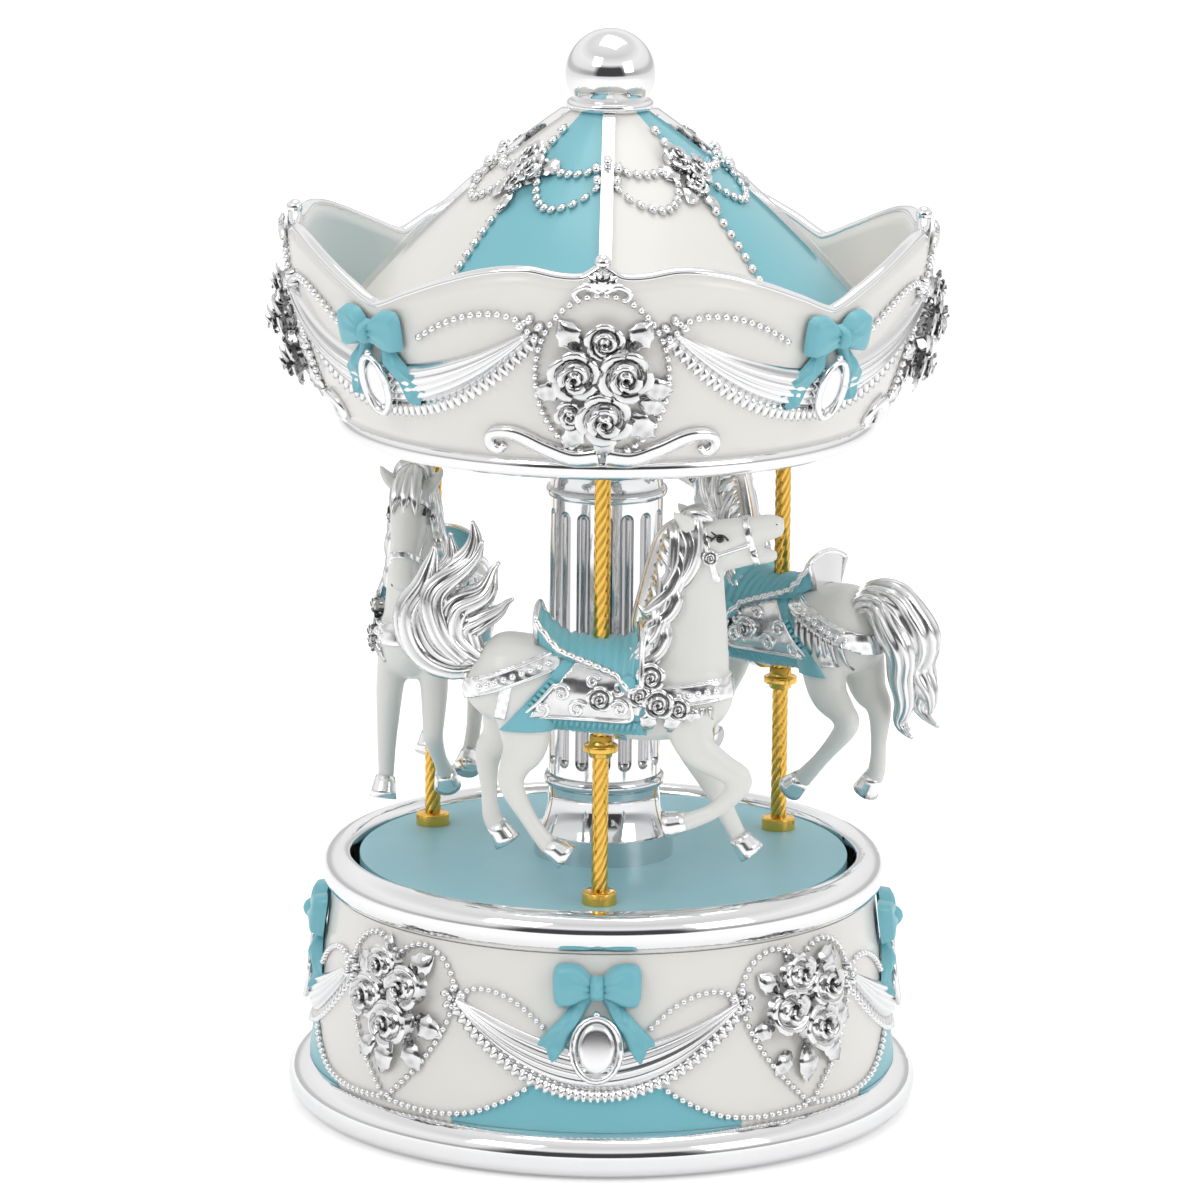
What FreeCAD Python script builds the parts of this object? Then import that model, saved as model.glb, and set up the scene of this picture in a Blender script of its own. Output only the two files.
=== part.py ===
import FreeCAD, Part
import math
import os
import Sketcher

# Wind-up carousel music box, in millimetres, +Z up.
# The origin is on the table under the middle of the base, and the front faces -Y.
# A spring barrel on the axis turns the platform, and with it the column, the three
# poles and horses and the canopy, while it drives the pinned cylinder and the governor.

doc = FreeCAD.newDocument("CarouselMusicBox")
sheet = doc.addObject("Spreadsheet::Sheet", "Sizes")

SIZES = (
    ("foot_height", 7.0, "foot ring, height"),
    ("foot_bulge", 3.7, "foot ring, how far its round side stands out"),
    ("foot_step", 0.2, "foot ring, how far its flat faces pass the drum"),
    ("foot_shelf", 0.8, "foot ring, how far it reaches in past the drum wall"),
    ("drum_taper", 3.5, "drum wall, how much wider it is at the bottom"),
    ("drum_wall", 2.4, "drum wall, thickness"),
    ("ledge_depth", 2.6, "drum ledge, reach past the inside of the drum's top"),
    ("ledge_height", 4.0, "drum ledge, height"),
    ("ring_height", 6.6, "top ring, height"),
    ("ring_bulge", 2.5, "top ring, how far its round side stands out"),
    ("ring_step", 0.3, "top ring, how far its lower face stays inside the drum"),
    ("ring_shelf", 0.9, "top ring, how far it reaches in past the drum wall"),
    ("ring_round", 2.0, "top ring, radius of its inner top edge"),
    ("ring_lip", 1.2, "top ring, how far it stands above the platform"),
    ("key_floor_gap", 2.0, "winding key, clearance above the table"),
    ("key_height", 10.0, "winding key, height of its hub"),
    ("key_plate_gap", 2.0, "winding key, clearance below the bottom plate"),
    ("key_span", 18.0, "winding key, width of its wings"),
    ("key_thick", 2.0, "winding key, thickness of its wings"),
    ("key_hub_radius", 3.2, "winding key, radius of its hub"),
    ("plate_thick", 2.0, "bottom plate, thickness"),
    ("plate_clear", 0.3, "bottom plate, clearance in the drum"),
    ("plate_hole", 4.5, "bottom plate, radius of the hole for the arbor"),
    ("bed_thick", 2.0, "movement bedplate, thickness"),
    ("bed_clear", 1.2, "movement bedplate, clearance in the drum ledge"),
    ("bed_back", 14.0, "movement bedplate, reach behind the barrel axis"),
    ("bed_side", 13.0, "movement bedplate, reach on the governor's side"),
    ("arbor_radius", 1.75, "winding arbor, radius"),
    ("fit", 0.05, "radial clearance of each turning shaft"),
    ("flange_gap", 0.5, "barrel flange, clearance above the bedplate"),
    ("flange_thick", 1.5, "barrel flange, thickness"),
    ("barrel_radius", 11.4, "spring barrel, outer radius"),
    ("barrel_wall", 1.0, "spring barrel, wall"),
    ("barrel_height", 10.0, "spring barrel, height above its flange"),
    ("cover_thick", 1.0, "barrel cover, thickness"),
    ("spring_strip", 0.35, "mainspring, thickness of its strip"),
    ("spring_pitch", 0.95, "mainspring, step from turn to turn"),
    ("spring_gap", 0.6, "mainspring, clearance to the barrel"),
    ("tooth_in_gap", 0.5, "barrel teeth, clearance outside the barrel wall"),
    ("tooth_face", 2.0, "barrel teeth and pinion, width of the meshing face"),
    ("flange_lip", 0.3, "barrel flange, rim outside its teeth"),
    ("tooth_share", 0.36, "gear teeth, share of the pitch that is metal"),
    ("tooth_above", 0.65, "gear teeth, height above the pitch line"),
    ("tooth_clear", 0.2, "gear teeth, clearance at the tip"),
    ("hub_height", 6.5, "drive hub, height from the barrel cover to the platform"),
    ("hub_radius", 7.0, "drive hub, outer radius"),
    ("hub_bore", 3.8, "drive hub, inner radius, room for the tie nut"),
    ("cylinder_radius", 6.0, "pinned cylinder, radius"),
    ("cylinder_length", 14.0, "pinned cylinder, length"),
    ("cylinder_shaft", 1.0, "pinned cylinder, radius of its shaft"),
    ("pin_rise", 0.45, "pins, how far they stand out of the cylinder"),
    ("pin_radius", 0.2, "pins, radius"),
    ("bracket_thick", 1.4, "cylinder brackets, thickness"),
    ("bracket_half", 3.0, "cylinder brackets, half of their width"),
    ("bracket_gap", 0.7, "cylinder brackets, clearance to the turning pieces"),
    ("comb_clear", 0.35, "comb, clearance from its tips to the pins"),
    ("comb_length", 13.7, "comb, length from tips to back"),
    ("comb_thick", 0.8, "comb, thickness"),
    ("comb_seat", 4.9, "comb, width of the part that is clamped"),
    ("comb_slot", 0.28, "comb, width of the slots between its teeth"),
    ("wheel_pitch_radius", 5.4, "governor wheel, pitch radius"),
    ("wheel_thick", 1.2, "governor wheel, thickness"),
    ("worm_pitch_radius", 1.8, "governor worm, pitch radius"),
    ("worm_shaft", 0.6, "governor worm, radius of its shaft"),
    ("fan_reach", 4.5, "governor fan, radius"),
    ("fan_blade", 0.5, "governor fan, thickness of its blades"),
    ("arm_thick", 1.2, "governor bracket, thickness of its arm"),
    ("case_clear", 1.75, "drum, clearance around the governor fan"),
    ("deck_clear", 2.3, "platform, clearance above the governor fan"),
    ("platform_thick", 2.5, "platform, thickness"),
    ("platform_gap", 1.1, "platform, clearance in the top ring"),
    ("rod_radius", 1.5, "tie rod, radius"),
    ("rod_clear", 0.1, "tie rod, radial clearance"),
    ("nut_height", 2.4, "tie nut, height"),
    ("nut_radius", 3.2, "tie nut, radius over its corners"),
    ("plinth_radius", 11.2, "column plinth, radius"),
    ("plinth_height", 4.0, "column plinth, height"),
    ("bell_height", 7.3, "column bell, height"),
    ("bell_step", 0.8, "column bell, step in from the plinth's edge"),
    ("bell_hollow", 0.6, "column bell, depth of its hollow"),
    ("bead_radius", 9.7, "column bead, radius"),
    ("bead_height", 2.2, "column bead, height"),
    ("shaft_radius", 9.0, "column shaft, radius"),
    ("flute_radius", 1.15, "column flutes, radius"),
    ("flute_end", 1.6, "column flutes, plain length at each end"),
    ("capital_radius", 10.9, "column capital, radius"),
    ("capital_height", 11.2, "column capital, height"),
    ("pole_radius", 1.3, "pole, radius"),
    ("pole_inset", 6.6, "pole, distance of its axis from the platform's edge"),
    ("pole_socket", 1.0, "pole, depth of its socket in the canopy"),
    ("collar_radius", 2.7, "pole collar, radius"),
    ("collar_height", 2.1, "pole collar, height"),
    ("collar_lift", 23.5, "pole collar under the horse, height above the platform"),
    ("horse_length", 41.0, "horse, length from rump to chest"),
    ("saddle_thick", 0.9, "saddle, thickness"),
    ("head_room", 5.5, "canopy, clearance above the tallest horse"),
    ("floor_margin", 6.7, "canopy floor, reach past the pole axes"),
    ("floor_thick", 2.0, "canopy floor, thickness"),
    ("rim_width", 3.4, "canopy ring, width"),
    ("rim_height", 3.2, "canopy ring, height"),
    ("rim_drop", 0.5, "canopy ring, how far it hangs below the floor"),
    ("crown_step", 0.1, "crown, how far it stays inside the canopy ring"),
    ("crown_wall", 2.2, "crown, wall"),
    ("crown_flare", 8.1, "crown, how much wider it is at its tips"),
    ("crown_height", 30.7, "crown, height to its tips"),
    ("crown_bulge", 1.9, "crown, how far its side bows out"),
    ("crown_arch", 1.0, "crown, drop from the tips to the tops of the arches"),
    ("crown_dip", 2.6, "crown, drop from the tips to the dips beside them"),
    ("crown_notch", 9.0, "crown, drop from the tips to the notches"),
    ("roof_gap", 0.1, "roof skirt, clearance inside the crown"),
    ("roof_wall", 2.0, "roof, wall"),
    ("skirt_height", 16.4, "roof, height of its hidden skirt"),
    ("roof_rise", 31.5, "roof, height from eave to top"),
    ("roof_top_radius", 5.9, "roof, radius of its flat top"),
    ("roof_bulge", 1.6, "roof, how far its side bows out"),
    ("rib_width", 1.9, "roof ribs, width"),
    ("rib_thick", 0.7, "roof ribs, thickness"),
    ("finial_collar_radius", 6.5, "finial collar, radius"),
    ("finial_collar_height", 1.4, "finial collar, height"),
    ("ball_radius", 7.06, "finial ball, radius"),
    ("ball_rise", 4.1, "finial ball, height of its middle above the collar"),
    ("rod_grip", 3.0, "tie rod, depth of its thread in the finial ball"),
    ("relief", 1.2, "ornaments, thickness on the walls"),
    ("rose_radius", 3.0, "roses, radius"),
    ("bow_drop", 4.6, "base bows, knot below the top ring"),
    ("bow_half", 7.1, "bows, half of their width"),
    ("cameo_drop", 14.3, "base cameos, middle below the top ring"),
    ("cameo_half", 3.2, "cameos, half of their width"),
    ("heart_drop", 1.3, "hearts, top below the top ring"),
    ("heart_half", 12.4, "hearts, half of their width"),
    ("heart_height", 25.2, "hearts, height"),
    ("swag_drop", 22.4, "base swags, lowest edge below the top ring"),
    ("swag_depth", 6.5, "swags, depth of the drapery"),
    ("medallion_lift", 2.2, "medallions, lowest edge above the canopy ring"),
    ("medallion_half", 10.1, "medallions, half of their width"),
    ("medallion_height", 25.6, "medallions, height"),
    ("crown_bow_lift", 20.4, "crown bows, knot above the canopy ring"),
    ("crown_cameo_lift", 11.3, "crown cameos, middle above the canopy ring"),
    ("crown_swag_lift", 6.0, "crown swags, lowest edge above the canopy ring"),
    ("tip_radius", 1.3, "balls on the crown's tips, radius"),
    ("spray_radius", 17.5, "roof roses, distance from the axis"),
    ("arm_gap", 0.4, "governor bracket, clearance to the worm and fan"),
    ("pivot_depth", 1.0, "governor worm, depth of its pivot in the bedplate"),
    ("screw_radius", 1.0, "screws, radius of the shank"),
    ("screw_head_radius", 1.9, "screws, radius of the head"),
    ("screw_head", 1.2, "screws, height of the head"),
    ("screw_grip", 3.0, "screws, length of thread in the far piece"),
)

BARREL_TEETH = 36
PINION_TEETH = 14
WHEEL_TEETH = 18
COMB_TEETH = 18
FLUTES = 16
SCREWS = 4
BAYS = 4            # the ornaments repeat in each quarter
POLE_TURNS = (0, -120, 120)

for row, (alias, value, note) in enumerate(SIZES, start=1):
    sheet.set(f"A{row}", note)
    sheet.set(f"B{row}", str(value))
    sheet.setAlias(f"B{row}", alias)
doc.recompute()


class Size:
    """A length with the spreadsheet expression that gives it."""

    def __init__(self, value, text):
        self.value = value
        self.text = text

    def __add__(self, other):
        other = as_size(other)
        return Size(self.value + other.value, f"({self.text} + {other.text})")

    def __sub__(self, other):
        other = as_size(other)
        return Size(self.value - other.value, f"({self.text} - {other.text})")

    def __mul__(self, other):
        other = as_size(other)
        return Size(self.value * other.value, f"({self.text} * {other.text})")

    def __truediv__(self, other):
        other = as_size(other)
        return Size(self.value / other.value, f"({self.text} / {other.text})")

    def __neg__(self):
        return Size(-self.value, f"(0 - {self.text})")

    def __rsub__(self, other):
        return as_size(other) - self

    __radd__ = __add__
    __rmul__ = __mul__


def as_size(value):
    return value if isinstance(value, Size) else Size(float(value), repr(float(value)))


def root(value):
    return Size(math.sqrt(value.value), f"sqrt({value.text})")


def larger(first, second):
    return Size(max(first.value, second.value), f"max({first.text}; {second.text})")


def reach(x, y):
    return root(x * x + y * y)


def bow_radius(chord, rise):
    """Radius of the arc on a chord with the given rise."""
    return (chord * chord / 4 + rise * rise) / (rise * 2)


class Sheet:
    """Gives each size of the spreadsheet by its alias."""

    def __getattr__(self, alias):
        return Size(float(sheet.get(alias)), f"Sizes.{alias}")


S = Sheet()
V = FreeCAD.Vector

# Gear train, worked out from the barrel's teeth
tooth_inner = S.barrel_radius + S.tooth_in_gap
tooth_outer = tooth_inner + S.tooth_face
tooth_pitch = (tooth_inner + tooth_outer) * math.pi / BARREL_TEETH
tooth_below = S.tooth_above + S.tooth_clear
pinion_pitch_radius = tooth_pitch * (PINION_TEETH / (2 * math.pi))
worm_pitch = S.wheel_pitch_radius * (2 * math.pi / WHEEL_TEETH)
worm_offset = S.wheel_pitch_radius + S.worm_pitch_radius

# Heights, from the table up
plate_under = S.key_floor_gap + S.key_height + S.key_plate_gap
plate_top = plate_under + S.plate_thick
bed_top = plate_top + S.bed_thick
flange_under = bed_top + S.flange_gap
flange_top = flange_under + S.flange_thick
barrel_top = flange_top + S.barrel_height
cover_top = barrel_top + S.cover_thick
platform_under = cover_top + S.hub_height
platform_top = platform_under + S.platform_thick
ring_under = platform_top + S.ring_lip - S.ring_height
cylinder_level = flange_top + S.tooth_clear + pinion_pitch_radius + S.tooth_above
collar_under = platform_top + S.collar_lift
collar_top = collar_under + S.collar_height

# The horse's drawn stations are for a horse of this length and top
DRAWN_LENGTH = 41.0
DRAWN_TOP = 38.5
horse_scale = S.horse_length / DRAWN_LENGTH
canopy_under = collar_top + horse_scale * DRAWN_TOP + S.head_room
floor_top = canopy_under + S.floor_thick
rim_under = canopy_under - S.rim_drop
rim_top = rim_under + S.rim_height
crown_top = rim_top + S.crown_height
eave_level = rim_top + S.skirt_height
roof_top = eave_level + S.roof_rise
finial_seat = roof_top + S.finial_collar_height
ball_level = finial_seat + S.ball_rise

# Places along the cylinder, out from the barrel axis
bracket_in = tooth_outer + S.bracket_gap
cylinder_start = bracket_in + S.bracket_thick + S.bracket_gap
cylinder_end = cylinder_start + S.cylinder_length
bracket_out = cylinder_end + S.bracket_gap
wheel_start = bracket_out + S.bracket_thick + S.bracket_gap
wheel_end = wheel_start + S.wheel_thick
wheel_middle = wheel_start + S.wheel_thick / 2
comb_tip = S.cylinder_radius + S.pin_rise + S.comb_clear
comb_back = comb_tip + S.comb_length

# Radii of the base, built out from the movement
ledge_bore = reach(cylinder_end, comb_back) + S.bed_clear
fan_limit = reach(wheel_middle, worm_offset) + S.fan_reach + S.case_clear
drum_bore_top = larger(ledge_bore + S.ledge_depth, fan_limit)
drum_top_radius = drum_bore_top + S.drum_wall
drum_foot_radius = drum_top_radius + S.drum_taper
drum_height = ring_under - S.foot_height
bed_radius = ledge_bore - S.bed_clear / 2
foot_seat = drum_foot_radius + S.foot_step
foot_bore = drum_foot_radius - S.drum_wall - S.foot_shelf
ring_seat = drum_top_radius - S.ring_step
ring_bore = drum_bore_top - S.ring_shelf
platform_radius = ring_bore - S.platform_gap
pole_circle = platform_radius - S.pole_inset
floor_radius = pole_circle + S.floor_margin
rim_radius = floor_radius + S.rim_width
crown_foot_radius = rim_radius - S.crown_step
crown_tip_radius = crown_foot_radius + S.crown_flare
crown_arc = bow_radius(reach(S.crown_flare, S.crown_height), S.crown_bulge)
eave_radius = crown_foot_radius - S.crown_wall - S.roof_gap
roof_arc = bow_radius(reach(eave_radius - S.roof_top_radius, S.roof_rise), S.roof_bulge)
rod_bore = S.rod_radius + S.rod_clear
screw_circle = ledge_bore + S.ledge_depth


def drum_radius(level):
    """Outer radius of the drum's straight wall at a height."""
    return drum_foot_radius - S.drum_taper * ((level - S.foot_height) / drum_height)


# Drawing and feature helpers
pieces = []


def keep(obj, label):
    obj.Label = label
    pieces.append(obj)
    return obj


def origin_feature(body, role):
    return next(f for f in body.Origin.OriginFeatures if f.Role == role)


def arc_middle(start, end, radius):
    """Middle of the short arc from start to end, its centre to the left if radius > 0."""
    chord = end - start
    left = V(-chord.y, chord.x, 0).normalize()
    side = math.copysign(1, radius)
    depth = math.sqrt(radius * radius - chord.Length ** 2 / 4)
    return (start + end) / 2 + left * side * (depth - abs(radius))


def outline(sketch, points):
    """Closed outline; a third value on a point makes the side after it an arc."""
    corners = [V(as_size(p[0]).value, as_size(p[1]).value, 0) for p in points]
    starts = []
    ends = []
    for i, point in enumerate(points):
        start = corners[i]
        end = corners[(i + 1) % len(points)]
        if len(point) == 2:
            side = sketch.addGeometry(Part.LineSegment(start, end))
            starts.append((side, 1))
            ends.append((side, 2))
            continue
        middle = arc_middle(start, end, point[2].value)
        forward = point[2].value > 0
        arc = Part.Arc(start, middle, end) if forward else Part.Arc(end, middle, start)
        side = sketch.addGeometry(arc)
        starts.append((side, 1 if forward else 2))
        ends.append((side, 2 if forward else 1))
        number = sketch.addConstraint(Sketcher.Constraint("Radius", side, abs(point[2].value)))
        sketch.setExpression(f"Constraints[{number}]", f"abs({point[2].text})")
    for i, point in enumerate(points):
        sketch.addConstraint(Sketcher.Constraint("Coincident", *ends[i - 1], *starts[i]))
        for axis, line, value in (("DistanceX", -2, point[0]), ("DistanceY", -1, point[1])):
            if not isinstance(value, Size) and value == 0:
                sketch.addConstraint(Sketcher.Constraint("PointOnObject", *starts[i], line))
                continue
            place = Sketcher.Constraint(axis, -1, 1, *starts[i], as_size(value).value)
            number = sketch.addConstraint(place)
            sketch.setExpression(f"Constraints[{number}]", as_size(value).text)


def plane_sketch(body, name, role, lift=None):
    """Sketch on one of the body's own planes, lifted along the plane's normal."""
    sketch = body.newObject("Sketcher::SketchObject", name)
    sketch.AttachmentSupport = [(origin_feature(body, role), "")]
    sketch.MapMode = "FlatFace"
    if lift is not None:
        sketch.AttachmentOffset = FreeCAD.Placement(V(0, 0, lift.value), FreeCAD.Rotation())
        sketch.setExpression("AttachmentOffset.Base.z", lift.text)
    return sketch


def lathe(name, points):
    """Body turned around the Z axis from its outline."""
    body = doc.addObject("PartDesign::Body", name)
    sketch = plane_sketch(body, name + "_outline", "XZ_Plane")
    outline(sketch, points)
    turn = body.newObject("PartDesign::Revolution", name + "_turn")
    turn.Profile = sketch
    turn.ReferenceAxis = (sketch, ["V_Axis"])
    turn.Angle = 360
    body.Tip = turn
    return body


def around(body, feature, count):
    """Repeats a feature evenly around the Z axis."""
    pattern = body.newObject("PartDesign::PolarPattern", feature.Name + "_around")
    pattern.Originals = [feature]
    pattern.Axis = (origin_feature(body, "Z_Axis"), [""])
    pattern.Angle = 360
    pattern.Occurrences = count
    body.Tip = pattern


def placed(obj, x, y, z):
    for axis, value in zip("xyz", (x, y, z)):
        obj.setExpression("Placement.Base." + axis, as_size(value).text)
    return obj


def cylinder(name, radius, x, y, bottom, top):
    obj = doc.addObject("Part::Cylinder", name)
    obj.setExpression("Radius", as_size(radius).text)
    obj.setExpression("Height", (as_size(top) - bottom).text)
    return placed(obj, x, y, bottom)


def axle(name, radius, start, end, y, z):
    """Cylinder that lies along X."""
    obj = doc.addObject("Part::Cylinder", name)
    obj.Placement = FreeCAD.Placement(V(), FreeCAD.Rotation(V(0, 1, 0), 90))
    obj.setExpression("Radius", as_size(radius).text)
    obj.setExpression("Height", (as_size(end) - start).text)
    return placed(obj, start, y, z)


def box(name, x, y, z):
    """Box between a pair of values on each axis."""
    obj = doc.addObject("Part::Box", name)
    for side, (low, high) in zip(("Length", "Width", "Height"), (x, y, z)):
        obj.setExpression(side, (as_size(high) - low).text)
    return placed(obj, x[0], y[0], z[0])


def fuse(name, shapes):
    obj = doc.addObject("Part::MultiFuse", name)
    obj.Shapes = shapes
    return obj


def common(name, shapes):
    obj = doc.addObject("Part::MultiCommon", name)
    obj.Shapes = shapes
    return obj


def cut(name, base, tools):
    obj = doc.addObject("Part::Cut", name)
    obj.Base = base
    obj.Tool = tools[0] if len(tools) == 1 else fuse(name + "_tools", tools)
    return obj


def together(name, shapes):
    """One node of separate, alike pieces."""
    obj = doc.addObject("Part::Compound", name)
    obj.Links = shapes
    return keep(obj, name)


def turned(name, points, holes=()):
    """Turned piece with any drilled holes."""
    if not holes:
        return keep(lathe(name, points), name)
    return keep(cut(name, lathe(name + "_blank", points), list(holes)), name)


def screw(name, x, y, seat, tip):
    """Screw whose head is on the seat; the shank runs to the tip, up or down."""
    upward = tip.value > seat.value
    ends = (seat, tip) if upward else (tip, seat)
    head = (seat - S.screw_head, seat) if upward else (seat, seat + S.screw_head)
    shank = cylinder(name + "_shank", S.screw_radius, x, y, *ends)
    return fuse(name, [shank, cylinder(name + "_head", S.screw_head_radius, x, y, *head)])


def shaped(name, shape, place=FreeCAD.Placement()):
    """Piece whose free form is worked out from the sizes, drawn in its own frame."""
    obj = doc.addObject("Part::Feature", name)
    obj.Shape = shape
    obj.Placement = place
    return keep(obj, name)


def at(x, y, z, turn=0):
    return FreeCAD.Placement(V(x, y, z), FreeCAD.Rotation(V(0, 0, 1), turn))


# Base: foot ring, tapered drum with an inner ledge, top ring
turned("foot_ring", [
    (foot_bore, 0),
    (foot_seat, 0, bow_radius(S.foot_height, S.foot_bulge)),
    (foot_seat, S.foot_height),
    (foot_bore, S.foot_height),
])

screw_places = []
for i in range(SCREWS):
    angle = math.radians(45 + 360 * i / SCREWS)
    screw_places.append((screw_circle * math.cos(angle), screw_circle * math.sin(angle)))
cylinder_middle = (cylinder_start + cylinder_end) / 2
bed_screw_side = S.bed_side - S.screw_head_radius * 2
bed_screw_places = [
    (S.screw_head_radius * 2 - S.bed_back, 0),
    (cylinder_middle, bed_screw_side),
    (cylinder_middle, -bed_screw_side),
]
screw_hole = S.screw_radius + S.rod_clear
ledge_top = plate_top + S.ledge_height
plate_edge = drum_radius(plate_top) - S.drum_wall - S.plate_clear

turned("base_drum", [
    (drum_foot_radius, S.foot_height),
    (drum_top_radius, ring_under),
    (drum_bore_top, ring_under),
    (drum_radius(ledge_top) - S.drum_wall, ledge_top),
    (ledge_bore, ledge_top),
    (ledge_bore, plate_top),
    (drum_radius(plate_top) - S.drum_wall, plate_top),
    (drum_foot_radius - S.drum_wall, S.foot_height),
], [
    cylinder(f"ledge_hole_{i}", S.screw_radius, x, y, plate_under, plate_top + S.screw_grip)
    for i, (x, y) in enumerate(screw_places, start=1)
])

ring_top = platform_top + S.ring_lip
ring_crest = ring_bore + S.ring_round
turned("top_ring", [
    (ring_bore, ring_under),
    (ring_seat, ring_under, bow_radius(reach(ring_seat - ring_crest, S.ring_height), S.ring_bulge)),
    (ring_crest, ring_top, S.ring_round),
    (ring_bore, ring_top - S.ring_round),
])

turned("bottom_plate", [
    (S.plate_hole, plate_under),
    (plate_edge, plate_under),
    (plate_edge, plate_top),
    (S.plate_hole, plate_top),
], [
    cylinder(f"plate_hole_{i}", screw_hole, x, y, plate_under - 1, plate_top + 1)
    for i, (x, y) in enumerate(screw_places + bed_screw_places, start=1)
])
together("plate_screws", [
    screw(f"plate_screw_{i}", x, y, plate_under, plate_top + S.screw_grip)
    for i, (x, y) in enumerate(screw_places, start=1)
])
together("movement_screws", [
    screw(f"movement_screw_{i}", x, y, plate_under, bed_top)
    for i, (x, y) in enumerate(bed_screw_places, start=1)
])

# Movement: bedplate with the comb's pedestal, brackets, comb
comb_under = cylinder_level - S.comb_thick / 2
comb_top = comb_under + S.comb_thick
comb_front = comb_back - S.comb_seat
comb_screw_x = (cylinder_start + S.screw_head_radius * 2, cylinder_end - S.screw_head_radius * 2)
comb_screw_y = comb_back - S.comb_seat / 2
bed_slab = common("bed_slab", [
    box("bed_blank", (-S.bed_back, bed_radius), (-S.bed_side, comb_back), (plate_top, bed_top)),
    cylinder("bed_disc", bed_radius, 0, 0, plate_top, bed_top),
])
bed_body = fuse("bed_body", [
    bed_slab,
    box("comb_pedestal", (cylinder_start, cylinder_end), (comb_front, comb_back),
        (plate_top, comb_under)),
])
bed_holes = [
    cylinder("arbor_hole", S.arbor_radius + S.fit, 0, 0, plate_under, bed_top + 1),
    cylinder("worm_pivot_hole", S.worm_shaft + S.fit, wheel_middle, -worm_offset,
             bed_top - S.pivot_depth, bed_top + 1),
]
for i, (x, y) in enumerate(bed_screw_places, start=1):
    bed_holes.append(cylinder(f"bed_screw_hole_{i}", S.screw_radius, x, y, plate_under, bed_top))
for i, x in enumerate(comb_screw_x, start=1):
    bed_holes.append(cylinder(f"pedestal_hole_{i}", S.screw_radius, x, comb_screw_y,
                              comb_under - S.screw_grip, comb_top))
keep(cut("movement_bedplate", bed_body, bed_holes), "movement_bedplate")

bracket_top = cylinder_level + S.bracket_half
brackets = []
for name, start in (("inner", bracket_in), ("outer", bracket_out)):
    upright = box(f"{name}_upright", (start, start + S.bracket_thick),
                  (-S.bracket_half, S.bracket_half), (bed_top, bracket_top))
    bore = axle(f"{name}_bore", S.cylinder_shaft + S.fit, start - 1, start + S.bracket_thick + 1,
                0, cylinder_level)
    brackets.append(cut(f"{name}_bracket", upright, [bore]))
together("cylinder_brackets", brackets)

comb_pitch = S.cylinder_length / COMB_TEETH
comb_holes = []
for i in range(1, COMB_TEETH):
    middle = cylinder_start + comb_pitch * i
    comb_holes.append(box(f"comb_slot_{i}", (middle - S.comb_slot / 2, middle + S.comb_slot / 2),
                          (comb_tip - 1, comb_front), (comb_under - 1, comb_top + 1)))
for i, x in enumerate(comb_screw_x, start=1):
    comb_holes.append(cylinder(f"comb_hole_{i}", screw_hole, x, comb_screw_y,
                               comb_under - 1, comb_top + 1))
comb_blank = box("comb_blank", (cylinder_start, cylinder_end), (comb_tip, comb_back),
                 (comb_under, comb_top))
keep(cut("comb", comb_blank, comb_holes), "comb")
together("comb_screws", [
    screw(f"comb_screw_{i}", x, comb_screw_y, comb_top, comb_under - S.screw_grip)
    for i, x in enumerate(comb_screw_x, start=1)
])

# Spring barrel with face teeth, mainspring, cover with the drive hub
barrel = lathe("spring_barrel", [
    (S.arbor_radius + S.fit, flange_under),
    (tooth_outer + S.flange_lip, flange_under),
    (tooth_outer + S.flange_lip, flange_top),
    (S.barrel_radius, flange_top),
    (S.barrel_radius, barrel_top),
    (S.barrel_radius - S.barrel_wall, barrel_top),
    (S.barrel_radius - S.barrel_wall, flange_top),
    (S.arbor_radius + S.fit, flange_top),
])
FLANK = math.tan(math.radians(20))
tooth_half = tooth_pitch * S.tooth_share / 2
tooth_foot = flange_top - S.flange_lip
tooth_foot_half = tooth_half + tooth_below * FLANK
tooth_tip_half = tooth_half - S.tooth_above * FLANK
tooth_tip = flange_top + tooth_below + S.tooth_above
tooth_sketch = plane_sketch(barrel, "face_tooth_outline", "YZ_Plane", tooth_inner)
outline(tooth_sketch, [
    (-tooth_foot_half, tooth_foot),
    (tooth_foot_half, tooth_foot),
    (tooth_foot_half, flange_top),
    (tooth_tip_half, tooth_tip),
    (-tooth_tip_half, tooth_tip),
    (-tooth_foot_half, flange_top),
])
tooth = barrel.newObject("PartDesign::Pad", "face_tooth")
tooth.Profile = tooth_sketch
tooth.setExpression("Length", S.tooth_face.text)
barrel.Tip = tooth
around(barrel, tooth, BARREL_TEETH)
keep(barrel, "spring_barrel")


def coiled_strip():
    """Mainspring strip, wound in half turns that step inward."""
    step = S.spring_pitch.value / 2
    strip = S.spring_strip.value
    start = (S.barrel_radius - S.barrel_wall - S.spring_gap).value - step
    core = S.arbor_radius.value + S.spring_pitch.value
    count = int((start - strip - core) / step)
    sides = []
    for inset in (0, strip):
        arcs = []
        for turn in range(count):
            middle = step / 2 if turn % 2 == 0 else -step / 2
            radius = start - inset - step * turn
            way = 1 if turn % 2 == 0 else -1
            arcs.append(Part.Arc(V(middle + way * radius, 0, 0), V(middle, way * radius, 0),
                                 V(middle - way * radius, 0, 0)).toShape())
        sides.append(arcs)
    outer, inner = sides
    way = 1 if count % 2 == 1 else -1
    last = (step / 2 if count % 2 == 1 else -step / 2) - way * (start - step * (count - 1))
    ends = [
        Part.makeLine(V(step / 2 + start, 0, 0), V(step / 2 + start - strip, 0, 0)),
        Part.makeLine(V(last, 0, 0), V(last + way * strip, 0, 0)),
    ]
    wire = Part.Wire(Part.__sortEdges__(outer + inner + ends))
    height = (S.barrel_height - S.spring_gap).value
    return Part.Face(wire).extrude(V(0, 0, height))


shaped("mainspring", coiled_strip(), at(0, 0, flange_top.value))

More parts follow.
